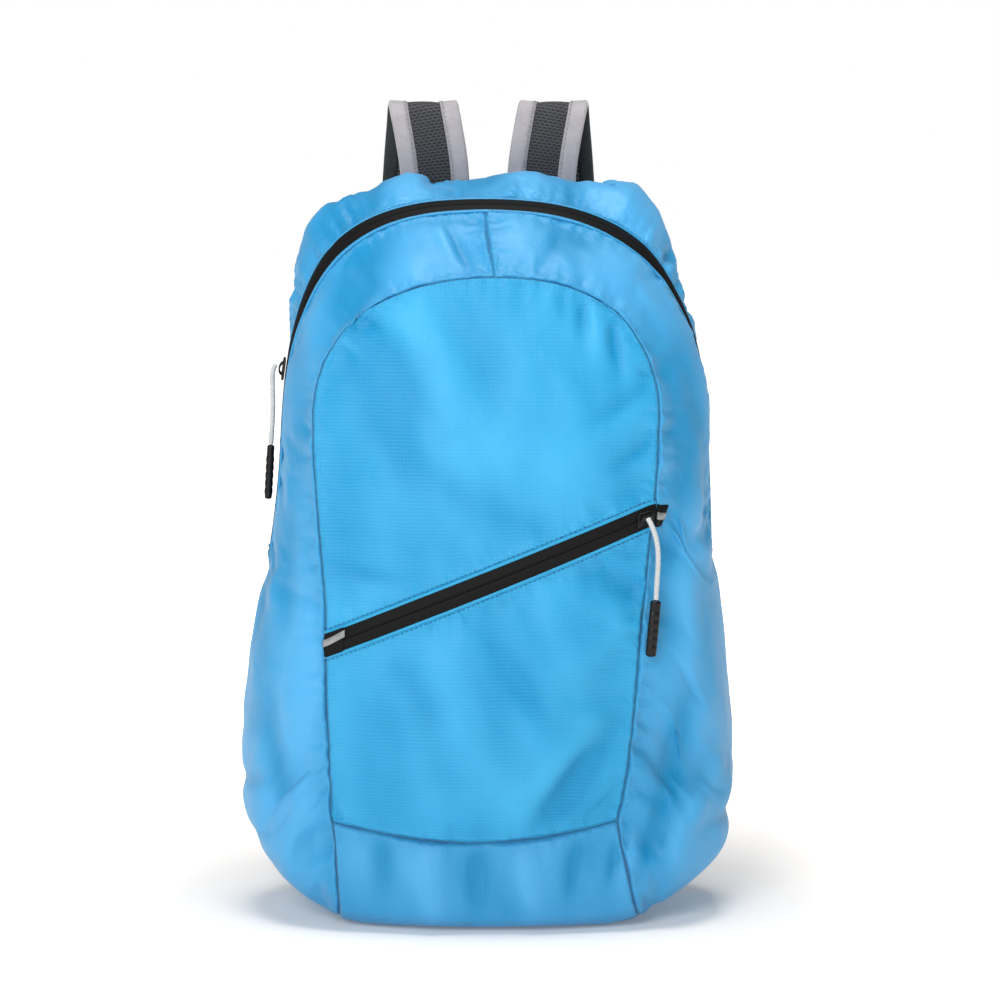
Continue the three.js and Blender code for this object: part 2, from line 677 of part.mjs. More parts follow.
function lockGeometry(start) {
  const slot = (lockLength - 3 * lockBar) / 2;
  const [w, round] = [lockWidth / 2, lockBar / 2];
  const outline = new THREE.Shape();
  outline.moveTo(-w + round, 0);
  outline.lineTo(w - round, 0);
  outline.absarc(w - round, round, round, -Math.PI / 2, 0);
  outline.lineTo(w, lockLength - round);
  outline.absarc(w - round, lockLength - round, round, 0, Math.PI / 2);
  outline.lineTo(-w + round, lockLength);
  outline.absarc(-w + round, lockLength - round, round, Math.PI / 2, Math.PI);
  outline.lineTo(-w, round);
  outline.absarc(-w + round, round, round, Math.PI, 1.5 * Math.PI);
  for (const low of [lockBar, 2 * lockBar + slot]) {
    const hole = new THREE.Path();
    hole.moveTo(-w + lockBar, low);
    hole.lineTo(-w + lockBar, low + slot);
    hole.lineTo(w - lockBar, low + slot);
    hole.lineTo(w - lockBar, low);
    hole.closePath();
    outline.holes.push(hole);
  }
  const geometry = new THREE.ExtrudeGeometry(outline, { depth: lockThickness, bevelEnabled: false, curveSegments: 3 });
  geometry.translate(0, lockFromPad, -lockThickness / 2);
  const place = new THREE.Matrix4().makeBasis(start.width, start.tangent, start.normal);
  place.setPosition(start.point);
  return geometry.applyMatrix4(place);
}

function addStrap(side, name) {
  const frames = strapFrames(side);
  addMesh(`strap_pad_${name}`, sweep(frames, padProfile()), materials.mesh);
  addMesh(`strap_binding_outer_${name}`, sweep(frames, bindingProfile(side)), materials.binding);
  addMesh(`strap_binding_inner_${name}`, sweep(frames, bindingProfile(-side)), materials.binding);

  const end = frames[frames.length - 1];
  const local = ([s, n]) => end.point.clone().addScaledVector(end.tangent, s).addScaledVector(end.normal, n);
  const halfBar = lockBar / 2;
  const halfLock = lockThickness / 2;
  const barStep = (lockLength - lockBar) / 2;
  const topBar = lockFromPad + halfBar;
  const middleBar = topBar + barStep;
  const bottomBar = middleBar + barStep;
  const face = padThickness / 2 + webbingThickness / 2 + wrapGap;
  addMesh(`ladder_lock_${name}`, lockGeometry(end), materials.plastic);

  const loopPath = [
    [-loopOnPad, face],
    ...roundCorner([topBar + halfBar, halfLock], Math.PI / 2, -Math.PI / 2),
    ...roundCorner([topBar + halfBar, -halfLock], 0, -Math.PI / 2),
    [-loopOnPad, -face],
  ];
  const webbing = rectangle(webbingWidth, webbingThickness);
  addMesh(`strap_loop_${name}`, sweep(framesAlong(loopPath.map(local), end.width), webbing), materials.webbing);

  const behindBar = -halfLock - webbingThickness / 2 - wrapGap;
  const loadDepth = behindBar - webbingThickness - wrapGap;
  const nearLock = [
    [bottomBar + halfBar, behindBar],
    [bottomBar - halfBar - 2 * restGap, behindBar],
    ...roundCorner([middleBar + halfBar, halfLock], Math.PI / 4, Math.PI / 4).slice(1),
    ...roundCorner([middleBar - halfBar, halfLock], Math.PI / 2, Math.PI / 2),
    [middleBar - halfBar - webbingThickness / 2 - wrapGap, loadDepth + webbingThickness],
    [middleBar - halfBar + restGap, loadDepth],
    [bottomBar + lockBar, loadDepth],
  ].map(local);
  const anchorX = (side * anchorSpacing) / 2;
  const anchorTop = anchorHeight + anchorLength;
  const anchor = (z, off) => new THREE.Vector3(anchorX, restingDepth(anchorX, z, webbingWidth, webbingThickness) + off, z);
  const release = nearLock[nearLock.length - 1];
  const run = new THREE.CatmullRomCurve3(
    [release, release.clone().lerp(anchor(anchorTop, 0), 0.5), anchor(anchorTop, 2 * restGap), anchor(anchorHeight, 0)],
    false, "centripetal");
  const load = run.getSpacedPoints(10).slice(1);

  // The loose tail hangs on the pulled strand, which lies between it and the bag.
  const tail = [1, 0.75, 0.5, 0.25].map((share) => {
    const along = (share * (tailLength - lockBar)) / run.getLength();
    const off = X.clone().cross(run.getTangentAt(along)).normalize();
    return run.getPointAt(along).addScaledVector(off, webbingThickness + wrapGap + share * 2 * restGap);
  });
  const path = [...tail, ...nearLock, ...load];
  const pathFrames = framesAlong(path, end.width).map((frame, i) => {
    const nearTheLock = i >= tail.length && i < tail.length + nearLock.length;
    const width = (nearTheLock ? end.width : X).clone().projectOnPlane(frame.tangent).normalize();
    return { ...frame, width, normal: width.clone().cross(frame.tangent) };
  });
  addMesh(`adjuster_webbing_${name}`, sweep(pathFrames, webbing), materials.webbing);
}

addStrap(-1, "left");
addStrap(1, "right");

// A place on a quad of the skin: u runs from its first corner to its second, v from there upwards.
function quadPoint(corners, u, v) {
  const [a, b, c, d] = corners.map((index) => skinPoints[index]);
  return a.clone().lerp(b, u).lerp(d.clone().lerp(c, u), v);
}

function quadFrame(corners, u, v) {
  const tangent = quadPoint(corners, 1, v).sub(quadPoint(corners, 0, v)).normalize();
  return { point: quadPoint(corners, u, v), tangent, normal: quadNormal(corners).normalize() };
}

// A thin plate over part of a quad, lifted off it.
function plateOn(corners, [u0, u1], [v0, v1], lift, thickness) {
  const normal = quadNormal(corners).normalize();
  const at = (u, v, n) => quadPoint(corners, u, v).addScaledVector(normal, n);
  const rim = [[u0, v0], [u1, v0], [u1, v1], [u0, v1]];
  const low = rim.map(([u, v]) => at(u, v, lift));
  const high = rim.map(([u, v]) => at(u, v, lift + thickness));
  return shellGeometry(high, low, [[0, 1, 2, 3]]);
}

// A zip slider: a base plate with an arched pull bridge on it.
function sliderGeometry({ point, tangent, normal }) {
  const [length, height] = [sliderLength, sliderHeight];
  const base = 0.38 * height;
  const wall = 0.24 * height;
  const outline = new THREE.Shape([
    [-0.5, 0], [0.5, 0], [0.5, 0.8 * base], [0.38, base], [0.3, height],
    [-0.3, height], [-0.38, base], [-0.5, 0.8 * base],
  ].map(([u, n]) => new THREE.Vector2(u * length, n)));
  outline.holes.push(new THREE.Path([
    [-0.2, base + 0.1], [-0.2, height - wall], [0.2, height - wall], [0.2, base + 0.1],
  ].map(([u, n]) => new THREE.Vector2(u * length, n))));
  const geometry = new THREE.ExtrudeGeometry(outline, { depth: sliderWidth, bevelEnabled: false });
  geometry.translate(0, trimLift, -sliderWidth / 2);
  const place = new THREE.Matrix4().makeBasis(tangent, normal, tangent.clone().cross(normal));
  place.setPosition(point);
  return geometry.applyMatrix4(place);
}

// Pull cords, as routes from the top of the slider's bridge: the steps to the right, back and down.
const pocketCordRoute = [
  [0, 0, 0], [1.6, -0.9, -3], [3.6, -0.9, -8], [5.2, -0.4, -14], [6, 0.2, -21], [6, 0.8, -28],
  [5.6, 1.2, -35], [5.2, 1.5, -42], [5, 1.6, -48],
];
const mainCordRoute = [
  [0, 0, 0], [-1.5, 0, -3], [-2, -0.2, -8], [-1.9, -0.4, -14], [-1.8, -0.4, -21], [-1.9, -0.2, -28],
  [-2.3, 0, -35], [-2.8, 0.2, -42], [-3.2, 0.4, -48],
];
const gripSections = [
  { along: 0, size: 0.6 }, { along: 0.03, size: 0.85 }, { along: 0.09, size: 1 },
  { along: 0.9, size: 1 }, { along: 0.97, size: 0.9 }, { along: 1, size: 0.62 },
];

function gripProfile() {
  const [w, n] = [gripWidth / 2, gripThickness / 2];
  const corner = 0.3 * gripThickness;
  return [
    [w, corner - n], [w, n - corner], [w - corner, n], [corner - w, n],
    [-w, n - corner], [-w, corner - n], [corner - w, -n], [w - corner, -n],
  ];
}

function addPull(name, frame, route, sway) {
  const eye = frame.point.clone()
    .addScaledVector(frame.normal, trimLift + sliderHeight + restGap + cordDiameter / 2);
  const points = route.map(([x, y, z]) => new THREE.Vector3(x, y, z).add(eye));
  const path = new THREE.CatmullRomCurve3(points, false, "centripetal");
  const section = new THREE.Shape();
  section.absarc(0, 0, cordDiameter / 2, 0, 2 * Math.PI);
  const steps = Math.round(path.getLength() / (2 * cordDiameter));
  addMesh(`${name}_pull_cord`, new THREE.ExtrudeGeometry(section, {
    steps, curveSegments: cordSides / 2, bevelEnabled: false, extrudePath: path,
  }), materials.cord);

  const end = points[points.length - 1];
  const down = new THREE.Vector3(...sway).normalize();
  const top = end.clone().addScaledVector(down, trimLift);
  const frames = framesAlong(
    gripSections.map(({ along }) => top.clone().addScaledVector(down, along * gripLength)),
    frame.widthAxis,
  ).map((grip, i) => ({ ...grip, size: gripSections[i].size }));
  addMesh(`${name}_pull_grip`, sweep(frames, gripProfile()), materials.plastic);
  return points;
}

const lastCell = acrossCells - 1;
const pocketZipQuad = (i) => [
  frontIndex[i][pocketZipRow], frontIndex[i + 1][pocketZipRow],
  frontIndex[i + 1][pocketZipRow + 1], frontIndex[i][pocketZipRow + 1],
];
const pocketSlider = quadFrame(pocketZipQuad(lastCell), 0.6, 0.5);
addMesh("pocket_slider", sliderGeometry(pocketSlider), materials.plastic);
addPull("pocket", { ...pocketSlider, widthAxis: X }, pocketCordRoute, [-0.09, -0.02, -1]);

const sliderColumn = ringIndex.findIndex((rows) => skinPoints[rows[zipRow]].z > mainSliderHeight);
const mainZipQuad = [
  ringIndex[sliderColumn - 1][zipRow], ringIndex[sliderColumn][zipRow],
  ringIndex[sliderColumn][zipRow + 1], ringIndex[sliderColumn - 1][zipRow + 1],
];
const mainSlider = quadFrame(mainZipQuad, 0.5, 0.5);
addMesh("main_slider", sliderGeometry(mainSlider), materials.plastic);
addPull("main", { ...mainSlider, widthAxis: Y.clone().negate() }, mainCordRoute, [-0.06, 0, -1]);

// Tabs over the ends of the pocket zip, each with a reflective stripe.
const stripeLift = trimLift + tabThickness + restGap;
const firstQuad = pocketZipQuad(0);
const firstLength = quadPoint(firstQuad, 0, 0.5).distanceTo(quadPoint(firstQuad, 1, 0.5));
const leftTab = [0.03, leftTabLength / firstLength];
const stripeMargin = (1 - stripeWidth / zipTapeWidth) / 2;
addMesh("zip_tab_left", plateOn(firstQuad, leftTab, [0.04, 0.96], trimLift, tabThickness), materials.tape);
addMesh("reflective_stripe_left",
  plateOn(firstQuad, leftTab, [1 - stripeMargin - stripeWidth / zipTapeWidth, 1 - stripeMargin], stripeLift, stripeThickness),
  materials.reflective);
const besideEnd = edgeColumn(acrossCells, pocketZipRow);
const gussetQuad = [
  ringIndex[besideEnd][0], ringIndex[besideEnd][1], ringIndex[besideEnd - 1][1], ringIndex[besideEnd - 1][0],
];
const gussetLength = quadPoint(gussetQuad, 0, 0.5).distanceTo(quadPoint(gussetQuad, 1, 0.5));
const rightTab = [0.08, 0.08 + rightTabLength / gussetLength];
addMesh("zip_tab_right", plateOn(gussetQuad, rightTab, [0.04, 0.96], trimLift, tabThickness), materials.tape);
addMesh("reflective_stripe_right",
  plateOn(gussetQuad, rightTab, [stripeMargin, stripeMargin + stripeWidth / zipTapeWidth], stripeLift, stripeThickness),
  materials.reflective);

export default bag;
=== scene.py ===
# %% [markdown]
# # A packable backpack, dressed from its CAD frame
# The CAD part fixes the bag's true sizes: the stuffed skin with its sewn panels, the shoulder straps,
# the ladder locks and the zip pulls. This lesson dresses it as a maker would see it: cloth that
# puckers along its seams, a coated zip, braided pull cords and air mesh. Everything is in metres,
# +Z is up, and the front of the bag faces -Y.

import math

import bmesh
import bpy
import numpy as np
from mathutils import Matrix, Vector, noise
from mathutils.bvhtree import BVHTree
from mathutils.kdtree import KDTree


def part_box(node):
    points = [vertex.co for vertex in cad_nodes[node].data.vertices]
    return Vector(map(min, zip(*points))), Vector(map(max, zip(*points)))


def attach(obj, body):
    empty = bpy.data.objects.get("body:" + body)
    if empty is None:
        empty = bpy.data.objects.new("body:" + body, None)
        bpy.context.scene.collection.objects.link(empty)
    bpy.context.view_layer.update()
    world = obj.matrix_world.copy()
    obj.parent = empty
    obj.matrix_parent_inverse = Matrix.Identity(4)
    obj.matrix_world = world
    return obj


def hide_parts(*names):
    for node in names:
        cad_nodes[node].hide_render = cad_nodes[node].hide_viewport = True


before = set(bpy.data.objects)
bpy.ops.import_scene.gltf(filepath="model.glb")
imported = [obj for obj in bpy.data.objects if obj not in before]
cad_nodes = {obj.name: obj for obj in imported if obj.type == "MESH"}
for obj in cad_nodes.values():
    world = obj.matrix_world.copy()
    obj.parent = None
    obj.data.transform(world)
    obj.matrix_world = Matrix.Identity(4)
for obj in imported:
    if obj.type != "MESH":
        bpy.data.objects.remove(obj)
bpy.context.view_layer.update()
scene = bpy.context.scene

# %% [markdown]
# ## The camera
# The picture is taken from straight in front and a little above the bag. A long lens keeps the sides
# of the bag parallel, as in a product picture. The lens is worked out from the distance and from the
# width that the picture covers at the bag: 36 mm of sensor sees 0.6 m from 2.2 m away.

# %% The camera
camera_distance = 2.2
picture_width = 0.6
look_down = math.radians(7)
aim = Vector((0.0072, 0, 0.249))
camera_data = bpy.data.cameras.new("camera")
camera_data.sensor_width = 36
camera_data.lens = 36 * camera_distance / picture_width
camera = bpy.data.objects.new("camera", camera_data)
scene.collection.objects.link(camera)
camera.location = aim + camera_distance * Vector((0, -math.cos(look_down), math.sin(look_down)))
camera.rotation_euler = (math.pi / 2 - look_down, 0, 0)
scene.camera = camera
print("lens", round(camera_data.lens, 1), "mm")

# %% [markdown]
# ## Two pull cords
# Each zip slider has a limp braided cord, 3 mm thick and about 5 cm long, that ends in a moulded grip.
# A cord is a fixed length of something flexible, so it is a curve with a round bevel: the curve's own
# line is the cord's centreline. A few route points say where it hangs, and a smooth curve runs through
# them. The points are where the CAD part has them, so the cord lies where its solid lies.

# %% Pull cords
cord_radius = 0.0015
cord_points = 26


def line_length(points):
    return sum((b - a).length for a, b in zip(points, points[1:]))


def through(points, finer):
    """Points on the smooth curve through a row of points, finer times as many."""
    ends = [2 * points[0] - points[1], *points, 2 * points[-1] - points[-2]]
    row = []
    for a, b, c, d in zip(ends, ends[1:], ends[2:], ends[3:]):
        for step in range(finer):
            t = step / finer
            cubic = (-a + 3 * b - 3 * c + d) * t**3 + (2 * a - 5 * b + 4 * c - d) * t**2
            row.append((cubic + (c - a) * t + 2 * b) / 2)
    row.append(points[-1].copy())
    return row


def even_points(points, count):
    """The same line with its points at equal distances."""
    line = np.array([tuple(p) for p in points])
    steps = np.linalg.norm(np.diff(line, axis=0), axis=1)
    along = np.concatenate([[0], np.cumsum(steps)])
    wanted = np.linspace(0, along[-1], count)
    columns = [np.interp(wanted, along, line[:, k]) for k in range(3)]
    return [Vector(p) for p in np.array(columns).T]


def pull_cord(name, points):
    curve = bpy.data.curves.new(name, "CURVE")
    curve.dimensions = "3D"
    curve.bevel_depth = cord_radius
    curve.bevel_resolution = 3
    curve.use_fill_caps = True
    route = even_points(through([Vector(place) for place in points], 8), cord_points)
    spline = curve.splines.new("POLY")
    spline.points.add(len(route) - 1)
    for point, place in zip(spline.points, route):
        point.co = (*place, 1)
    cord = bpy.data.objects.new(name, curve)
    scene.collection.objects.link(cord)
    length = line_length(route)
    print(name, "is", round(length * 1000, 1), "mm long")
    return cord, route, length


pocket_cord, pocket_route, pocket_cord_length = pull_cord(
    "pocket_cord",
    [
        (0.09317, -0.07027, 0.24687),
        (0.09477, -0.07117, 0.24387),
        (0.09677, -0.07117, 0.23887),
        (0.09837, -0.07067, 0.23287),
        (0.09917, -0.07007, 0.22587),
        (0.09917, -0.06947, 0.21887),
        (0.09877, -0.06907, 0.21187),
        (0.09837, -0.06877, 0.20487),
        (0.09817, -0.06867, 0.19887),
    ],
)
main_cord, main_route, main_cord_length = pull_cord(
    "main_cord",
    [
        (-0.12721, 0.0069, 0.32998),
        (-0.12871, 0.0069, 0.32698),
        (-0.12921, 0.0067, 0.32198),
        (-0.12911, 0.0065, 0.31598),
        (-0.12901, 0.0065, 0.30898),
        (-0.12911, 0.0067, 0.30198),
        (-0.12951, 0.0069, 0.29498),
        (-0.13001, 0.0071, 0.28798),
        (-0.13041, 0.0073, 0.28198),
    ],
)

# %% [markdown]
# ## Shader sums in plain Python
# A procedural material is a lot of small sums on positions. Written as nodes one by one it is hard to
# read, so one small class wraps a node's output and gives it + - * /, and each sum adds its Math node.
# A second class holds one material and makes any other node from its type, settings and sockets.

# %% Shader helpers


class Signal:
    """A number or vector that runs through a material's nodes."""

    def __init__(self, finish, socket):
        self.finish = finish
        self.socket = socket

    def maths(self, operation, *others):
        sockets = dict(enumerate([self, *others]))
        return self.finish.node("ShaderNodeMath", {"operation": operation}, sockets)

    def __add__(self, other):
        return self.maths("ADD", other)

    __radd__ = __add__

    def __mul__(self, other):
        return self.maths("MULTIPLY", other)

    __rmul__ = __mul__

    def __sub__(self, other):
        return self.maths("SUBTRACT", other)

    def __rsub__(self, other):
        return (self * -1) + other

    def __truediv__(self, other):
        return self.maths("DIVIDE", other)

    def away_from_line(self, pitch):
        """How far this value is from the nearest line of a row of lines."""
        return self.maths("PINGPONG", pitch / 2)

    def held(self):
        return self.maths("MAXIMUM", 0).maths("MINIMUM", 1)


class Finish:
    """One material: it makes nodes, and its shader is a Principled BSDF."""

    def __init__(self, name, colour, roughness, **fixed):
        self.material = bpy.data.materials.new(name)
        self.material.use_nodes = True
        self.tree = self.material.node_tree
        self.tree.nodes.clear()
        self.shader = self.tree.nodes.new("ShaderNodeBsdfPrincipled")
        output = self.tree.nodes.new("ShaderNodeOutputMaterial")
        self.tree.links.new(self.shader.outputs[0], output.inputs["Surface"])
        self.set(**{"Base Color": (*colour, 1), "Roughness": roughness}, **fixed)
        self.material.diffuse_color = (*colour, 1)

    def put(self, socket, value):
        if isinstance(value, Signal):
            self.tree.links.new(value.socket, socket)
        else:
            socket.default_value = value

    def set(self, **sockets):
        for name, value in sockets.items():
            self.put(self.shader.inputs[name.replace("_", " ")], value)

    def node(self, kind, settings, sockets, out=0):
        made = self.tree.nodes.new(kind)
        for name, value in settings.items():
            setattr(made, name, value)
        for name, value in sockets.items():
            self.put(made.inputs[name], value)
        return Signal(self, made.outputs[out])

    def axes(self, vector):
        split = self.node("ShaderNodeSeparateXYZ", {}, {0: vector})
        node = split.socket.node
        return [Signal(self, node.outputs[k]) for k in range(3)]

    def place(self):
        return self.node("ShaderNodeTexCoord", {}, {}, out="Object")

    def pattern(self, name="cut"):
        return self.node("ShaderNodeUVMap", {"uv_map": name}, {})

    def painted(self, name):
        """A value that was stored on the points of the mesh."""
        return self.node("ShaderNodeAttribute", {"attribute_name": name}, {}, out="Fac")

    def cloud(self, vector, size, detail=2.0):
        """Soft noise from 0 to 1 whose blots are about size across, in metres."""
        sockets = {"Vector": vector, "Scale": 1 / size, "Detail": detail}
        return self.node("ShaderNodeTexNoise", {}, sockets, out="Fac")

    def stretched(self, vector, scale):
        sockets = {0: vector, 1: scale}
        return self.node("ShaderNodeVectorMath", {"operation": "MULTIPLY"}, sockets)

    def blend(self, mask, a, b):
        """Colour a where the mask is 0 and b where it is 1."""
        settings = {"data_type": "RGBA"}
        colours = {6: (*a, 1) if isinstance(a, tuple) else a, 7: (*b, 1) if isinstance(b, tuple) else b}
        return self.node("ShaderNodeMix", settings, {0: mask, **colours}, out=2)

    def bumps(self, height, distance, strength=1.0):
        sockets = {"Height": height, "Distance": distance, "Strength": strength}
        self.set(Normal=self.node("ShaderNodeBump", {}, sockets, out="Normal"))


def wear(piece, finish):
    """Gives a piece one material and nothing else."""
    piece.data.materials.clear()
    piece.data.materials.append(finish.material)


print("shader helpers ready")

# %% [markdown]
# ## The bag's skin
# The real bag is a closed skin of thin cloth, sewn from a few panels and held out by its stuffing. The
# CAD panels have an outer face, an inner face and a rim. Only the outer faces are wanted here, joined
# along their seams into one mesh of quads, because a cloth simulation has to see the bag as one skin.
# The panel that a face came from stays with it as its material number.

# %% Gather the outer faces
panel_names = [
    "front_panel_upper",
    "front_panel_lower",
    "pocket_zipper",
    "side_gusset_left",
    "side_gusset_right",
    "main_zipper",
    "rear_gusset",
    "back_panel",
    "base_panel",
]
panel_number = {name: number for number, name in enumerate(panel_names)}
rim_width = 0.0025
seam_room = 0.0009


def is_outer(face):
    """True for a face that looks out of the bag and isn't part of a panel's rim."""
    if min(edge.calc_length() for edge in face.edges) < rim_width:
        return False
    centre = face.calc_center_median()
    middle = Vector((0, 0.005, min(max(centre.z, 0.1), 0.33)))
    return face.normal.dot(centre - middle) > 0


def gather_skin():
    skin = bmesh.new()
    for name in panel_names:
        before = len(skin.faces)
        skin.from_mesh(cad_nodes[name].data)
        skin.faces.ensure_lookup_table()
        for face in skin.faces[before:]:
            face.material_index = panel_number[name]
    unwanted = [face for face in skin.faces if not is_outer(face)]
    bmesh.ops.delete(skin, geom=unwanted, context="FACES")
    bmesh.ops.remove_doubles(skin, verts=skin.verts, dist=seam_room)
    skin.normal_update()
    bmesh.ops.join_triangles(
        skin,
        faces=skin.faces,
        cmp_materials=True,
        angle_face_threshold=math.pi,
        angle_shape_threshold=math.pi,
        topology_influence=2.0,
    )
    skin.normal_update()
    return skin


skin = gather_skin()
open_edges = sum(1 for edge in skin.edges if len(edge.link_faces) != 2)
print("skin:", len(skin.verts), "points", len(skin.faces), "faces", open_edges, "open edges")
print("not quads:", sum(1 for face in skin.faces if len(face.verts) != 4))

# %% [markdown]
# ## Smooth cloth, cut flat
# Two rounds of subdivision turn the grid of quads into cloth fine enough to fold, and a crease on the
# seams keeps the panels' edges. Each panel is cut from flat cloth, so its threads run straight in the
# flat. That pattern is laid on now, before anything moves: front and back take x and z, the sides
# y and z, and the bottom x and y. The simulation then carries the threads along with the cloth.

# %% Smooth the skin and lay the pattern on
seam_crease = 0.45


def sewn_edges(mesh):
    """Edges where two different panels meet."""
    return [e for e in mesh.edges if len({f.material_index for f in e.link_faces}) > 1]


def as_object(mesh, name):
    """Turns a bmesh into an object that sits at the origin."""
    data = bpy.data.meshes.new(name)
    mesh.to_mesh(data)
    mesh.free()
    made = bpy.data.objects.new(name, data)
    scene.collection.objects.link(made)
    return made


def apply_modifiers(piece):
    """Makes what the modifiers show the piece's own mesh."""
    shown = piece.evaluated_get(bpy.context.evaluated_depsgraph_get())
    data = bpy.data.meshes.new_from_object(shown)
    piece.modifiers.clear()
    piece.data = data


def subdivide(piece, levels):
    smoother = piece.modifiers.new("smooth", "SUBSURF")
    smoother.levels = levels
    smoother.render_levels = levels
    apply_modifiers(piece)


def lay_pattern(mesh):
    """The cut coordinates of each face's corners, from the way the face looks."""
    cut = mesh.loops.layers.uv.new("cut")
    for face in mesh.faces:
        across, up = 0, 2
        size = [abs(v) for v in face.normal]
        if size[0] > max(size[1], size[2]):
            across, up = 1, 2
        elif size[2] > max(size[0], size[1]):
            across, up = 0, 1
        for corner in face.loops:
            place = corner.vert.co
            corner[cut].uv = (place[across], place[up])


crease = skin.edges.layers.float.new("crease_edge")
for edge in sewn_edges(skin):
    edge[crease] = seam_crease
cloth = as_object(skin, "cloth_skin")
subdivide(cloth, 2)
fine = bmesh.new()
fine.from_mesh(cloth.data)
lay_pattern(fine)
fine.to_mesh(cloth.data)
seam_points = sorted({v.index for edge in sewn_edges(fine) for v in edge.verts})
panel_of_point = {v.index: {f.material_index for f in v.link_faces} for v in fine.verts}
fine.free()
print("cloth:", len(cloth.data.vertices), "points,", len(seam_points), "on seams")

# %% [markdown]
# ## Let the cloth fill out
# Stuffed thin cloth bulges between its seams and puckers beside them, because the thread holds the seam
# shorter than the cloth. A cloth simulation gives just that: the seams, the zip tapes and the base are
# pinned, the cloth is 3.5 % larger than its frame, and a little pressure pushes it out. Gravity is off,
# as the stuffing carries the cloth. No point may move further than a few millimetres, so the bag keeps
# the size of its CAD part.

# %% Simulate the cloth
cloth_slack = -0.035
bag_pressure = 3.0
furthest_move = 0.008
swell_taken_back = 0.0035
last_frame = 20
still = {panel_number["base_panel"], panel_number["main_zipper"], panel_number["pocket_zipper"]}


def pin_strength(panels, on_seam):
    if on_seam or panels & still:
        return 1.0
    return 0.0


def fill_out(piece):
    group = piece.vertex_groups.new(name="sewn")
    on_seam = set(seam_points)
    for index in range(len(piece.data.vertices)):
        group.add([index], pin_strength(panel_of_point[index], index in on_seam), "REPLACE")
    rest = np.empty(len(piece.data.vertices) * 3)
    piece.data.vertices.foreach_get("co", rest)
    rest = rest.reshape(-1, 3)
    modifier = piece.modifiers.new("cloth", "CLOTH")
    settings = modifier.settings
    settings.quality = 6
    settings.mass = 0.15
    settings.tension_stiffness = 15
    settings.compression_stiffness = 6
    settings.shear_stiffness = 5
    settings.bending_stiffness = 0.15
    settings.vertex_group_mass = "sewn"
    settings.pin_stiffness = 1
    settings.shrink_min = cloth_slack
    settings.use_pressure = True
    settings.uniform_pressure_force = bag_pressure
    settings.effector_weights.gravity = 0
    modifier.collision_settings.use_collision = False
    modifier.collision_settings.use_self_collision = False
    scene.frame_start, scene.frame_end = 1, last_frame
    modifier.point_cache.frame_start, modifier.point_cache.frame_end = 1, last_frame
    for step in range(1, last_frame + 1):
        scene.frame_set(step)
    apply_modifiers(piece)
    scene.frame_set(1)
    moved = np.empty(rest.size)
    piece.data.vertices.foreach_get("co", moved)
    move = moved.reshape(-1, 3) - rest
    length = np.linalg.norm(move, axis=1, keepdims=True)
    print("cloth moved up to", round(float(length.max()) * 1000, 1), "mm before the cap")
    soft = furthest_move * np.tanh(length / furthest_move)
    move *= soft / np.maximum(length, 1e-9)
    normals = np.array([tuple(vert.normal) for vert in piece.data.vertices])
    free = np.array([[1 - pin_strength(panel_of_point[k], k in on_seam)] for k in range(len(rest))])
    move -= normals * free * (1 - np.exp(-length / 0.002)) * swell_taken_back
    piece.data.vertices.foreach_set("co", (rest + move).ravel())
    piece.data.update()


fill_out(cloth)

# %% [markdown]
# ## Folds of the stuffed cloth
# The photograph shows some single folds: soft hollows under the curved top seam, a broad diagonal fold
# low on the right of the front, and nicks in the outline near the bottom. Each is a long soft valley or
# ridge: a bell curve across, a wider bell along. For each face of the bag the table says where a fold
# lies on it, in millimetres, which way it runs, and how long, broad and deep it is. Under them all lie
# broad, low billows, which come from soft noise.

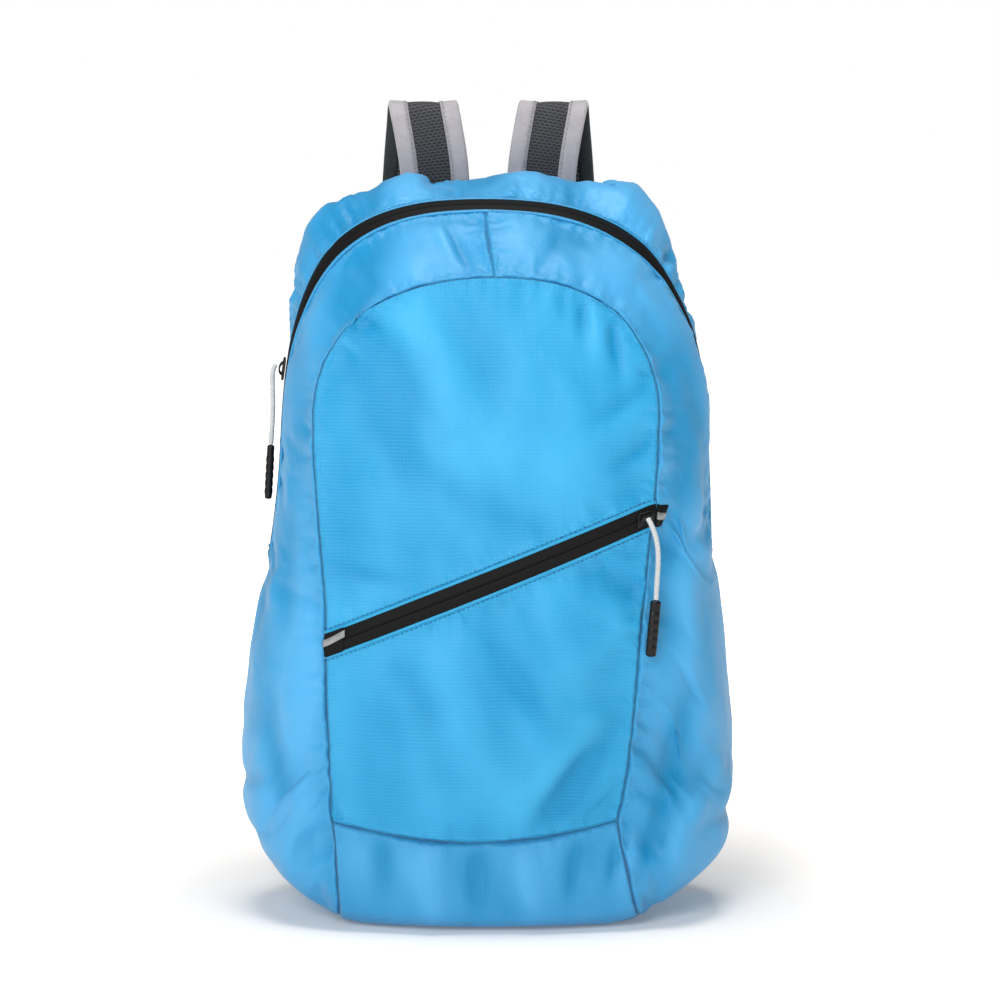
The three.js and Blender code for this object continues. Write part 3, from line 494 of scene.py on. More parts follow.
# %% Folds
fold_faces = {
    "front": (Vector((0, -1, 0)), 0, 2),
    "left": (Vector((-1, 0, 0)), 1, 2),
    "right": (Vector((1, 0, 0)), 1, 2),
    "back": (Vector((0, 1, 0)), 0, 2),
    "top": (Vector((0, 0, 1)), 0, 1),
}
fold_strength = 1.35
broad_billow = 0.0022
small_billow = 0.0009
fold_columns = ("across", "up", "run", "length", "breadth", "depth")
fold_rows = {
    "front": [
        (52, 93, -38, 34, 8.5, -3.6),
        (38, 100, -38, 30, 9, 1.6),
        (70, 82, -45, 17, 2.0, -1.3),
        (76, 88, -45, 15, 2.6, 0.9),
        (55, 366, 3, 15, 4.6, -2.3),
        (63, 360, 4, 18, 4.4, 1.2),
        (74, 350, 7, 19, 4.4, -2.8),
        (44, 372, 0, 11, 4.0, -1.4),
        (84, 356, 42, 11, 3.0, -1.7),
        (92, 345, 58, 9, 2.6, -1.5),
        (95, 330, 76, 8, 2.4, -1.2),
        (86, 316, -50, 24, 7, -2.4),
        (78, 306, -50, 26, 6.5, 1.6),
        (92, 288, -58, 22, 5, -1.6),
        (-74, 362, 62, 12, 3.0, -1.5),
        (-84, 350, 48, 12, 2.8, 1.2),
        (-62, 318, 22, 60, 22, -2.0),
        (-16, 318, 30, 62, 15, 1.6),
        (-42, 318, 30, 46, 9, -0.8),
        (-20, 280, 36, 44, 12, 1.2),
        (10, 250, 58, 50, 12, -1.5),
        (-70, 214, 80, 22, 5, -1.1),
        (-40, 150, 22, 45, 12, -1.6),
        (-12, 118, 30, 44, 12, 1.5),
        (22, 148, 38, 40, 10, -1.4),
        (88, 200, -30, 24, 6, -1.7),
        (80, 188, -32, 22, 6, 1.3),
        (-62, 40, 0, 22, 7, -1.9),
        (-34, 36, 4, 22, 6.5, 1.8),
        (-6, 34, -3, 22, 7, -1.8),
        (24, 36, 2, 22, 6.5, 1.7),
        (50, 38, -6, 20, 6, -1.8),
        (76, 46, -12, 15, 4.2, -3.0),
        (84, 40, -10, 15, 4.5, 1.8),
        (-92, 60, 4, 26, 6, -1.6),
        (-18, 404, 30, 16, 3.4, -1.8),
        (-26, 408, 30, 15, 4.0, 1.2),
        (40, 405, -28, 16, 5, -1.2),
        (-80, 392, 50, 18, 5, -1.4),
        (96, 386, -52, 18, 4.6, -1.6),
        (-120, 230, 2, 60, 8, -1.8),
        (-112, 150, -5, 60, 9, 1.6),
        (-124, 96, 8, 36, 8, -2.2),
        (112, 250, -6, 46, 8, -1.8),
        (118, 180, 6, 46, 8, 1.7),
        (112, 110, -12, 38, 8, -2.4),
        (100, 60, -24, 26, 6.5, -2.2),
        (124, 70, -30, 26, 6.5, 1.8),
    ],
    "left": [
        (-8, 82, 84, 40, 6.5, -2.0),
        (6, 102, 80, 42, 8, 0.8),
        (-20, 200, 10, 60, 8, -1.2),
        (20, 260, -8, 60, 8, -0.8),
        (30, 150, 14, 60, 9, -2.0),
        (-2, 44, 70, 36, 7, -1.6),
        (0, 66, 90, 60, 26, 3.4),
    ],
    "right": [
        (-6, 62, 96, 42, 6, -2.8),
        (8, 82, 98, 40, 8, 1.2),
        (24, 210, -12, 60, 8, -2.2),
        (-22, 260, 8, 60, 8, -2.0),
        (34, 140, 8, 60, 9, -2.4),
        (0, 48, 90, 60, 20, 3.6),
    ],
    "top": [
        (82, 45, 0, 60, 18, 7.0),
        (-74, 45, 0, 60, 14, -4.4),
        (-42, 45, 0, 60, 9, 1.6),
        (24, 45, 0, 60, 10, 1.6),
        (-6, 45, 0, 60, 9, -1.2),
        (52, 45, 0, 60, 7, -1.4),
    ],
    "back": [
        (-70, 120, 24, 50, 9, -1.8),
        (66, 140, -22, 50, 9, -1.8),
        (0, 230, 4, 70, 10, -1.6),
    ],
}


def bell_at(x, z, run, length, breadth):
    """How much of a fold is left at x, z from its middle, from 0 to 1."""
    angle = math.radians(run)
    along = -x * math.sin(angle) + z * math.cos(angle)
    beside = x * math.cos(angle) + z * math.sin(angle)
    if abs(along) > 2.5 * length or abs(beside) > 3 * breadth:
        return 0
    return math.exp(-((along / length) ** 2) - (beside / breadth) ** 2)


def fold_height(point, normal):
    """How far the folds lift a point of the cloth, in metres."""
    total = 0
    for face, rows in fold_rows.items():
        look, first, second = fold_faces[face]
        facing = normal.dot(look)
        if facing < 0.25:
            continue
        shown = fold_strength * min(1, (facing - 0.25) * 2.5)
        x, z = point[first] * 1000, point[second] * 1000
        for across, up, run, length, breadth, depth in rows:
            total += depth * shown * bell_at(x - across, z - up, run, length, breadth)
    return total / 1000


def billow_height(point):
    """Broad soft waves of the whole cloth, longer up the bag than across, in metres."""
    lean = Vector((point.x + 0.35 * point.z, point.y, 0.5 * point.z - 0.2 * point.x))
    small = noise.noise(lean * 60 + Vector((5, 2, 8)))
    return broad_billow * noise.noise(lean * 26) + small_billow * small


for face, rows in fold_rows.items():
    print(len(rows), face, "folds, with columns", ", ".join(fold_columns))

# %% [markdown]
# ## Puckers beside the seams
# A sewing machine gathers thin cloth a little, so every seam has short puckers that run away from it and
# die out within a centimetre or two. One more subdivision gives the cloth enough points. Each point then
# looks up the nearest spot on a seam: soft noise at that spot says how high the pucker stands, and the
# distance says how much of it is left. The seam itself sinks in a little, because it is pulled tight.

# %% Pucker the cloth
seam_sink = 0.0010
faint_seam_sink = 0.0003
zip_tuck_reach = 0.009
zip_tuck = {"left": 0.0018, "right": 0.0028}
panel_gathers = {
    "front_panel_upper": (0.0026, 0.009),
    "front_panel_lower": (0.0026, 0.009),
    "side_gusset_left": (0.0025, 0.011),
    "side_gusset_right": (0.0025, 0.011),
    "rear_gusset": (0.0042, 0.022),
    "back_panel": (0.0012, 0.012),
    "base_panel": (0.0022, 0.010),
}


def pucker(mesh):
    """Moves the points near a seam out and in, along their normals."""
    edges = sewn_edges(mesh)
    tree = KDTree(2 * len(edges))
    for number, edge in enumerate(edges):
        for end in (0, 1):
            tree.insert(edge.verts[end].co, 2 * number + end)
    tree.balance()
    zip_numbers = {panel_number["main_zipper"], panel_number["pocket_zipper"]}
    middle_seam = {panel_number["side_gusset_left"], panel_number["side_gusset_right"]}
    main_number = panel_number["main_zipper"]
    moves = {}
    tucks = {}
    rise = mesh.verts.layers.float.new("rise")
    near_seam = mesh.verts.layers.float.new("near_seam")
    for vert in mesh.verts:
        panels = {face.material_index for face in vert.link_faces}
        spot, number, far = tree.find(vert.co)
        inside = main_number in panels
        by_main_zip = main_number in {face.material_index for face in edges[number // 2].link_faces}
        if by_main_zip or inside:
            sideways = min(1, max(0, abs(vert.normal.x) - 0.6) * 4)
            depth = zip_tuck["right" if vert.co.x > 0 else "left"] * sideways
            tucks[vert] = vert.normal * depth * (1 if inside else math.exp(-((far / zip_tuck_reach) ** 2)))
        name = panel_names[min(panels)]
        if len(panels) > 1 or name not in panel_gathers:
            sink = 0 if panels & zip_numbers or panels == {panel_number["base_panel"]} else seam_sink
            if panels == middle_seam:
                sink = faint_seam_sink
            moves[vert] = -sink * vert.normal
            continue
        height, reach = panel_gathers[name]
        ripple = noise.noise(spot * 190) + 0.7 * noise.noise(spot * 75 + Vector((3, 1, 7)))
        fade = math.exp(-((far / reach) ** 1.5)) * (1 - math.exp(-far / 0.0025))
        billow = billow_height(vert.co) * min(1, 1 + vert.normal.z)
        folded = (fold_height(vert.co, vert.normal) + billow) * (1 - math.exp(-far / 0.006))
        # The fold height is kept to paint shade into the hollows and a highlight onto the ridges.
        vert[rise] = folded * 1000
        vert[near_seam] = math.exp(-far / 0.0045)
        moves[vert] = vert.normal * (height * ripple * fade + folded)
    for vert, move in moves.items():
        vert.co += move
    for vert, tuck in tucks.items():
        vert.co -= tuck


subdivide(cloth, 1)
fine = bmesh.new()
fine.from_mesh(cloth.data)
fine.normal_update()
pucker(fine)
fine.normal_update()
print("fine cloth:", len(fine.verts), "points")

# %% [markdown]
# ## Straps press on the back
# The straps and webbings lie against the back panel, so the cloth there has to give way. A ray from
# behind each point finds a strap that the cloth would stand in, and the point goes back under it. The
# points round about follow a little, so that the dent has a soft edge.

# %% Press the straps in
pressing_names = [name for name in cad_nodes if name.startswith(("strap", "adjuster"))]
print("pressing:", ", ".join(pressing_names))
furthest_press = 0.006
dent_reach = 0.03
dent_softness = 0.007


def press_in(mesh, names, depth=0.012, spare=0.0007):
    straps = bmesh.new()
    for name in names:
        straps.from_mesh(cad_nodes[name].data)
    tree = BVHTree.FromBMesh(straps)
    straps.free()
    pressed = {}
    for vert in mesh.verts:
        if vert.normal.y < 0.5:
            continue
        _, _, _, far = tree.ray_cast(vert.co - vert.normal * depth, vert.normal, depth + 0.002)
        if far is not None and far < depth + spare:
            pressed[vert] = min(depth + spare - far, furthest_press)
    marks = KDTree(len(pressed))
    pushes = list(pressed.items())
    for number, (vert, _) in enumerate(pushes):
        marks.insert(vert.co, number)
    marks.balance()
    for vert in mesh.verts:
        _, number, far = marks.find(vert.co)
        if far < dent_reach:
            vert.co -= vert.normal * pushes[number][1] * math.exp(-((far / dent_softness) ** 2))
    return len(pressed)


print("points pressed in:", press_in(fine, pressing_names))
fine.normal_update()

# %% [markdown]
# ## The cloth materials
# The front panels are ripstop: thin nylon with a thicker thread every 2 mm each way, which shows as a
# faint grid. The other panels are plain weave of the same yarn. Both have the satin sheen of filament
# yarn: a middling roughness, a little sheen, and a colour that drifts softly from place to place, which
# is painted sheen. The threads follow the cut pattern that was laid on before the cloth moved. The
# pucker step left two numbers on every point: rise, the height of the folds, paints shade into the
# hollows and a highlight onto the ridges, and near_seam says where the small gathers beside the seams
# go.

# %% Cloth finishes
ripstop_blue = (0.0, 0.32, 0.60)
plain_blue = (0.015, 0.30, 0.60)
ripstop_pitch = 0.0021


def thread_mask(distance, width):
    """1 on the line and 0 from width away."""
    return (1 - distance / width).held()


def painted_shade_and_sheen(finish, patch_size):
    """Painted shade and highlight: 0 in the hollows and 1 on the ridges, with soft patches of painted
    sheen over it.
    """
    patches = finish.cloud(finish.place(), patch_size)
    return (finish.painted("rise") * 0.28 + 0.2 + patches * 0.6).held()


def crinkles_and_gathers(finish, crinkle_size):
    """Fine relief: crinkles everywhere and gathers beside the seams."""
    crinkle = finish.cloud(finish.place(), crinkle_size, 3.0)
    gathers = finish.cloud(finish.place(), 0.0042) * finish.painted("near_seam")
    return crinkle * 0.0011 + gathers * 0.0036


def ripstop_finish():
    finish = Finish("ripstop", ripstop_blue, 0.5, Specular_IOR_Level=0.32, Sheen_Weight=0.05)
    across, up, _ = finish.axes(finish.pattern())
    across_lines = thread_mask(across.away_from_line(ripstop_pitch), 0.00032)
    up_lines = thread_mask(up.away_from_line(ripstop_pitch), 0.00034)
    grid = (across_lines * 0.55).maths("MAXIMUM", up_lines)
    patches = finish.cloud(finish.place(), 0.07, 2.0)
    shown = grid * (0.25 + patches * 0.75)
    # Painted shade and highlight: deeper blue in the fold hollows, paler blue on the ridges and in the
    # painted sheen patches.
    shade_and_highlight_colour = finish.blend(painted_shade_and_sheen(finish, 0.05), (0.0, 0.235, 0.48), (0.035, 0.365, 0.66))
    finish.set(Base_Color=finish.blend(shown * 0.4, shade_and_highlight_colour, (0.09, 0.43, 0.74)))
    worn = finish.cloud(finish.place(), 0.004, 4.0)
    finish.set(Roughness=0.46 + worn * 0.12)
    finish.bumps(shown * 0.0001 + crinkles_and_gathers(finish, 0.012), 1.0, 0.7)
    return finish


def plain_finish():
    finish = Finish("plain_cloth", plain_blue, 0.5, Specular_IOR_Level=0.42, Sheen_Weight=0.09)
    slubs = finish.cloud(finish.stretched(finish.pattern(), (900, 60, 1)), 1.0, 2.0)
    # Painted shade and highlight: deeper blue in the fold hollows, paler blue on the ridges and in the
    # painted sheen patches.
    shade_and_highlight_colour = finish.blend(painted_shade_and_sheen(finish, 0.06), (0.0, 0.23, 0.48), (0.06, 0.36, 0.68))
    finish.set(Base_Color=finish.blend((slubs - 0.45) * 0.3, shade_and_highlight_colour, (0.08, 0.40, 0.72)))
    worn = finish.cloud(finish.place(), 0.004, 4.0)
    finish.set(Roughness=0.46 + worn * 0.12)
    finish.bumps(crinkles_and_gathers(finish, 0.013) + slubs * 0.00002, 1.0, 0.7)
    return finish


ripstop = ripstop_finish()
plain_cloth = plain_finish()
print("ripstop thread every", ripstop_pitch * 1000, "mm")

# %% [markdown]
# ## One piece of cloth for each panel
# The skin is cut along its seams again, so that each panel is a piece of its own. A Solidify modifier
# gives the cloth its thickness towards the inside of the bag, and closes its rim. Each piece prints its
# area against the size that it was cut to, and stands for the CAD panel under it, which is hidden.

# %% Cut the panels
cloth_thickness = 0.0006
cut_sizes = {
    "front_panel_upper": (0.22, 0.23),
    "front_panel_lower": (0.21, 0.2),
    "side_gusset_left": (0.17, 0.62),
    "side_gusset_right": (0.17, 0.62),
    "rear_gusset": (0.09, 0.72),
    "back_panel": (0.24, 0.42),
    "base_panel": (0.28, 0.18),
}


def cut_panel(name, finish, slot):
    panel = fine.copy()
    number = panel_number[name]
    other = [face for face in panel.faces if face.material_index != number]
    bmesh.ops.delete(panel, geom=other, context="FACES")
    for face in panel.faces:
        face.material_index = 0
        face.smooth = True
    area = sum(face.calc_area() for face in panel.faces)
    piece = as_object(panel, name + "_cloth")
    wall = piece.modifiers.new("wall", "SOLIDIFY")
    wall.thickness = cloth_thickness
    wall.offset = -1
    wall.use_even_offset = False
    wear(piece, finish)
    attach(piece, "root")
    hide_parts(name)
    width, length = cut_sizes[name]
    print(name, "area", round(area, 4), "m2, share of its cut", round(area / width / length, 2))
    return piece


for name in cut_sizes:
    finish, slot = (ripstop, "ripstop") if name.startswith("front") else (plain_cloth, "plain_cloth")
    cut_panel(name, finish, slot)

# %% [markdown]
# ## Floor and light
# A product picture: a pale floor, white all round, one soft lamp in front and to the left, and a second
# straight above, which makes the top of the bag lightest. Away from the bag the floor glows a little,
# so that it meets the white ground without a line.

# %% Stage
surround_strength = 0.23


def area_lamp(name, place, size, power):
    lamp = bpy.data.lights.new(name, "AREA")
    lamp.size = size
    lamp.energy = power
    holder = bpy.data.objects.new(name, lamp)
    scene.collection.objects.link(holder)
    holder.location = place
    holder.rotation_mode = "QUATERNION"
    holder.rotation_quaternion = (Vector(place) - aim).to_track_quat("Z", "Y")
    return holder


def pale_floor():
    ground = bmesh.new()
    bmesh.ops.create_grid(ground, x_segments=1, y_segments=1, size=6)
    floor = as_object(ground, "floor")
    finish = Finish("floor", (0.96, 0.93, 0.9), 0.9, Specular_IOR_Level=0.1)
    x, y, _ = finish.axes(finish.place())
    far = (x * x + y * y).maths("SQRT")
    glow = ((far - 0.19) * 2.2).held()
    tone = finish.blend(glow, (0.13, 0.125, 0.12), (0.95, 0.95, 0.95))
    finish.set(Emission_Color=tone, Emission_Strength=1)
    wear(floor, finish)
    return floor


def white_surroundings():
    world = bpy.data.worlds.new("studio")
    world.use_nodes = True
    tree = world.node_tree
    tree.nodes.clear()
    seen, lit = [tree.nodes.new("ShaderNodeBackground") for _ in range(2)]
    lit.inputs["Strength"].default_value = surround_strength
    for shade in (seen, lit):
        shade.inputs["Color"].default_value = (1, 1, 1, 1)
    choice = tree.nodes.new("ShaderNodeMixShader")
    rays = tree.nodes.new("ShaderNodeLightPath")
    output = tree.nodes.new("ShaderNodeOutputWorld")
    tree.links.new(rays.outputs["Is Camera Ray"], choice.inputs[0])
    tree.links.new(lit.outputs[0], choice.inputs[1])
    tree.links.new(seen.outputs[0], choice.inputs[2])
    tree.links.new(choice.outputs[0], output.inputs["Surface"])
    scene.world = world


pale_floor()
white_surroundings()
area_lamp("key_lamp", (-0.6, -1.95, 1.05), 0.9, 26)
area_lamp("top_lamp", (0.0, -0.2, 2.3), 1.0, 32)
scene.view_settings.view_transform = "Standard"

# %% [markdown]
# ## One helper for everything that runs along a line
# Zips, bindings, webbing, grips and folded edges are all one outline that runs along a path. Blender's
# extrude makes such a piece: the outline is drawn once, its edge loop is extruded from station to
# station, and each new loop is put in place. A station is a centre with an across and an out direction,
# whose lengths scale the outline. The run map keeps how far across and how far along each point is.

# %% Run an outline along stations
def unit(vector):
    return vector / max(vector.length, 1e-9)


def run_along(name, outline, stations, soft=True):
    """A closed piece: the outline at each station, (centre, across, out), capped at both ends."""
    piece = bmesh.new()
    run = piece.loops.layers.uv.new("run")
    where = {}

    def put(vert, number, centre, across, out, along):
        x, y = outline[number]
        vert.co = centre + across * x + out * y
        where[vert] = (x * across.length, along, number)

    ring = [piece.verts.new() for _ in outline]
    along = 0
    for number, vert in enumerate(ring):
        put(vert, number, *stations[0], along)
    cap = piece.faces.new(ring)
    edges = list(cap.edges)
    for before, station in zip(stations, stations[1:]):
        old = {vert.co.to_tuple(7): where[vert][2] for edge in edges for vert in edge.verts}
        grown = bmesh.ops.extrude_edge_only(piece, edges=edges)["geom"]
        new = [item for item in grown if isinstance(item, bmesh.types.BMVert)]
        numbers = [old[vert.co.to_tuple(7)] for vert in new]
        along += (station[0] - before[0]).length
        for vert, number in zip(new, numbers):
            put(vert, number, *station, along)
        fresh = set(new)
        edges = [e for e in grown if isinstance(e, bmesh.types.BMEdge) and fresh.issuperset(e.verts)]
    bmesh.ops.holes_fill(piece, edges=edges, sides=len(outline))
    bmesh.ops.recalc_face_normals(piece, faces=piece.faces)
    for face in piece.faces:
        face.smooth = soft and len(face.verts) == 4
        numbers = {where[vert][2] for vert in face.verts}
        if all(outline[number][1] < 0 for number in numbers):
            face.material_index = 1
        for corner in face.loops:
            corner[run].uv = where[corner.vert][:2]
    return as_object(piece, name)


def dress(piece, finish, slot, *nodes, under=None):
    """The last steps of every trim piece: its finish, its body and the nodes it stands for; the slot is
    not used.
    """
    below = [face.index for face in piece.data.polygons if face.material_index == 1]
    wear(piece, finish)
    if under:
        piece.data.materials.append(under.material)
        for number in below:
            piece.data.polygons[number].material_index = 1
    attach(piece, "root")
    if nodes:
        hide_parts(*nodes)
    return piece


print("run_along ready")

# %% [markdown]
# ## Seams as lines
# Zip tape, stitches and folded edges all follow the seams of the simulated cloth. A seam is the chain
# of edges between two panels. It is walked from one end to the other, and resampled at even steps, so
# that two seams on either side of a zip can be paired station by station.

# %% Find the seams


def seam_line(panel, *neighbours):
    """Points and normals along a panel's seam with its neighbours, from its left end."""
    own = panel_number[panel]
    others = {panel_number[name] for name in neighbours}
    links = {}
    for edge in sewn_edges(fine):
        sides = {face.material_index for face in edge.link_faces}
        if own in sides and (sides - {own}) <= others:
            for a, b in (edge.verts, reversed(edge.verts)):
                links.setdefault(a, []).append(b)
    ends = [vert for vert, linked in links.items() if len(linked) == 1]
    vert = min(ends or links, key=lambda v: v.co.x)
    line, seen = [vert], {vert}
    while True:
        ahead = [other for other in links[line[-1]] if other not in seen]
        if not ahead:
            break
        line.append(ahead[0])
        seen.add(ahead[0])
    return [v.co.copy() for v in line], [v.normal.copy() for v in line]


def even_seam(seam, count):
    """A seam's points and normals at count even steps."""
    points, normals = seam
    line = np.array([tuple(p) for p in points])
    along = np.concatenate([[0], np.cumsum(np.linalg.norm(np.diff(line, axis=0), axis=1))])
    wanted = np.linspace(0, along[-1], count)
    both = np.hstack([line, np.array([tuple(n) for n in normals])])
    rows = np.array([np.interp(wanted, along, both[:, k]) for k in range(6)]).T
    return [Vector(row[:3]) for row in rows], [unit(Vector(row[3:])) for row in rows]


def beside_only(seam, other, share=0.9):
    """Drops the ends of a seam that turn the corner at the end of a strip."""
    tree = KDTree(len(other[0]))
    for number, point in enumerate(other[0]):
        tree.insert(point, number)
    tree.balance()
    far = [tree.find(point)[2] for point in seam[0]]
    limit = share * float(np.median(far))
    kept = [number for number, value in enumerate(far) if value >= limit]
    first, last = kept[0], kept[-1]
    return seam[0][first : last + 1], seam[1][first : last + 1]


pocket_upper = seam_line("pocket_zipper", "front_panel_upper")
pocket_lower = seam_line("pocket_zipper", "front_panel_lower")
main_rear = seam_line("main_zipper", "rear_gusset")
main_front = beside_only(seam_line("main_zipper", "side_gusset_left", "side_gusset_right"), main_rear)
print("seam points:", [len(s[0]) for s in (pocket_upper, pocket_lower, main_rear, main_front)])

# %% [markdown]
# ## The zips
# Both zips are the water-repellent kind: the coil is hidden behind a black coated tape, whose two lips
# meet over it in a narrow slit. The tape fills the gap between two seams, so its outline is stretched
# between them at each station: lips raised over the coil, a slit between them, and flat tape outside.

# %% Zip tapes


def other_half(outline):
    """The same outline on the other side, walked the other way."""
    return [(-x, z) for x, z in reversed(outline)]


def whole(half, middle=()):
    """A whole outline: a half, the points in the middle and the other half."""
    return [*half, *middle, *other_half(half)]


half_zip = [
    (-1.06, -0.0008),
    (-1.04, 0.0002),
    (-0.92, 0.0005),
    (-0.52, 0.0007),
    (-0.44, 0.0010),
    (-0.25, 0.0012),
    (-0.05, 0.0012),
    (-0.03, 0.0008),
]
zip_outline = whole(half_zip, [(0, 0.0004)])


def zip_stations(low_seam, high_seam, step=0.002):
    """Stations between two seams, with across reaching from the middle to the high seam."""
    count = max(int(line_length(low_seam[0]) / step), 8)
    low, low_out = even_seam(low_seam, count)
    high, high_out = even_seam(high_seam, count)
    stations = []
    for a, b, m, n in zip(low, high, low_out, high_out):
        across = (b - a) / 2
        out = m + n
        out = unit(out - out.project(across))
        stations.append(((a + b) / 2, across, out))
    return stations


def tape_finish():
    finish = Finish("zip_tape", (0.006, 0.006, 0.0065), 0.6, Specular_IOR_Level=0.1)
    across, along, _ = finish.axes(finish.pattern("run"))
    coil = along.away_from_line(0.0011) * 900
    on_coil = thread_mask(across.maths("ABSOLUTE"), 0.0032)
    dust = finish.cloud(finish.place(), 0.003, 4.0)
    finish.set(Base_Color=finish.blend(dust, (0.004, 0.004, 0.004), (0.009, 0.009, 0.0095)))
    finish.set(Roughness=0.5 + dust * 0.2)
    finish.bumps(coil * on_coil * 0.0001 + dust * 0.0003, 1.0, 0.6)
    return finish


zip_tape = tape_finish()
pocket_zip_stations = zip_stations(pocket_lower, pocket_upper)
main_zip_stations = zip_stations(main_front, main_rear)
pocket_zip = run_along("pocket_zip", zip_outline, pocket_zip_stations)
main_zip = run_along("main_zip", zip_outline, main_zip_stations)
dress(pocket_zip, zip_tape, "zip_tape", "pocket_zipper")
dress(main_zip, zip_tape, "zip_tape", "main_zipper")
print("zip stations:", len(pocket_zip_stations), len(main_zip_stations))

# %% [markdown]
# ## Folded edges
# Where cloth meets a zip it is folded under and sewn down, which leaves a thin rounded edge. The edge
# is a small oval outline that runs along the seam.

# %% Folded edges


def oval(half_width, half_height, corners):
    """The outline of an oval, point by point."""
    turns = np.linspace(0, 2 * math.pi, corners + 1)[:-1]
    return [(half_width * math.cos(turn), half_height * math.sin(turn)) for turn in turns]


def edge_stations(seam, step=0.003):
    points, outs = even_seam(seam, int(line_length(seam[0]) / step))
    stations = []
    for number, (point, out) in enumerate(zip(points, outs)):
        ahead = points[min(number + 1, len(points) - 1)] - points[max(number - 1, 0)]
        across = unit(ahead.cross(out))
        stations.append((point, across, out))
    return stations


def plain_copy_on_run(finish_name, colour):
    """The same cloth finish for narrow folded edges, whose threads follow the run map."""
    finish = Finish(finish_name, colour, 0.42, Sheen_Weight=0.25, Sheen_Roughness=0.4)
    _, along, _ = finish.axes(finish.pattern("run"))
    uneven = finish.cloud(finish.place(), 0.01, 3.0)
    darker = tuple(0.8 * c for c in colour)
    finish.set(Base_Color=finish.blend(uneven, darker, colour))
    finish.set(Roughness=0.38 + uneven * 0.12)
    finish.bumps(along.away_from_line(0.0006) * 0.2 + uneven * 0.0006, 1.0, 0.6)
    return finish


ripstop_edge = plain_copy_on_run("ripstop_edge", ripstop_blue)
plain_edge = plain_copy_on_run("plain_edge", plain_blue)
edge_outline = oval(0.0011, 0.0009, 8)
zip_edges = [
    ("pocket_edge_upper", pocket_upper, ripstop_edge, "ripstop"),
    ("pocket_edge_lower", pocket_lower, ripstop_edge, "ripstop"),
    ("main_edge_rear", main_rear, plain_edge, "plain_cloth"),
    ("main_edge_front", main_front, plain_edge, "plain_cloth"),
]
for name, seam, finish, slot in zip_edges:
    dress(run_along(name, edge_outline, edge_stations(seam)), finish, slot)
print("folded edges:", len(zip_edges))

# %% [markdown]
# ## Top stitching
# A row of small stitches lies a little outside each folded edge. They are one small rounded pin, copied
# at even steps along an offset line that hugs the cloth.

# %% Stitches


def one_stitch(length, radius):
    """A small rounded pin that lies along x."""
    pin = bmesh.new()
    bmesh.ops.create_icosphere(pin, subdivisions=1, radius=radius)
    for vert in pin.verts:
        if abs(vert.co.x) > 1e-6:
            vert.co.x += math.copysign(length / 2 - radius, vert.co.x)
    data = bpy.data.meshes.new("stitch")
    pin.to_mesh(data)
    pin.free()
    return data


def sew(name, lines, finish, slot, length=0.0019, gap=0.0011, radius=0.00028):
    """Copies the stitch along lines of (point, out) pairs."""
    pin = one_stitch(length, radius)
    row = bmesh.new()
    count = 0
    for points, outs in lines:
        steps = np.concatenate([[0], np.cumsum([(b - a).length for a, b in zip(points, points[1:])])])
        places = np.arange(length, steps[-1] - length, length + gap)
        for place in places:
            number = int(np.searchsorted(steps, place)) - 1
            a, b = points[number], points[number + 1]
            share = (place - steps[number]) / max(steps[number + 1] - steps[number], 1e-9)
            along = unit(b - a)
            out = unit(outs[number] - outs[number].project(along))
            turn = Matrix((along, out.cross(along), out)).transposed().to_4x4()
            turn.translation = a.lerp(b, share) + out * radius * 0.5
            first = len(row.verts)
            row.from_mesh(pin)
            row.verts.ensure_lookup_table()
            for vert in row.verts[first:]:
                vert.co = turn @ vert.co
            count += 1
    bmesh.ops.recalc_face_normals(row, faces=row.faces)
    for face in row.faces:
        face.smooth = True
    bpy.data.meshes.remove(pin)
    made = dress(as_object(row, name), finish, slot)
    print(name, count, "stitches")
    return made


skin_tree = BVHTree.FromBMesh(fine)


def on_cloth(point):
    """The spot of the cloth nearest to a point, and the cloth's normal there."""
    hit, normal, _, _ = skin_tree.find_nearest(point)
    return hit, normal


def beside_seam(seam, distance, side, step=0.002):
    """A line on the cloth at a distance from a seam; side is +1 or -1 of its across direction."""
    stations = edge_stations(seam, step)
    spots = [on_cloth(centre + across * side * distance) for centre, across, _ in stations]
    return [spot for spot, _ in spots], [normal for _, normal in spots]


def thread_finish(name, colour):
    finish = Finish(name, colour, 0.55)
    twist = finish.cloud(finish.place(), 0.0008, 2.0)
    darker, lighter = [tuple(share * c for c in colour) for share in (0.7, 1.2)]
    finish.set(Base_Color=finish.blend(twist, darker, lighter))
    finish.bumps(twist * 0.0002, 1.0, 0.5)
    return finish


dark_blue_thread = thread_finish("dark_blue_thread", (0.002, 0.13, 0.29))
blue_thread = thread_finish("blue_thread", (0.004, 0.23, 0.49))


def side_away(seam, middle):
    """Which side of a seam's across direction leads away from the zip's middle line."""
    stations = edge_stations(seam)
    centre, across, _ = stations[len(stations) // 2]
    nearest = min((m[0] for m in middle), key=lambda point: (point - centre).length)
    return 1 if (centre - nearest).dot(across) > 0 else -1


zip_rows = []
for seam, middle, distance in (
    (pocket_upper, pocket_zip_stations, 0.0019),
    (pocket_lower, pocket_zip_stations, 0.0019),
    (main_rear, main_zip_stations, 0.0016),
    (main_front, main_zip_stations, 0.0016),
):
    zip_rows.append(beside_seam(seam, distance, side_away(seam, middle)))
sew("pocket_stitches", zip_rows[:2], dark_blue_thread, "ripstop")
sew("main_zip_stitches", zip_rows[2:], blue_thread, "plain_cloth", radius=0.0002)
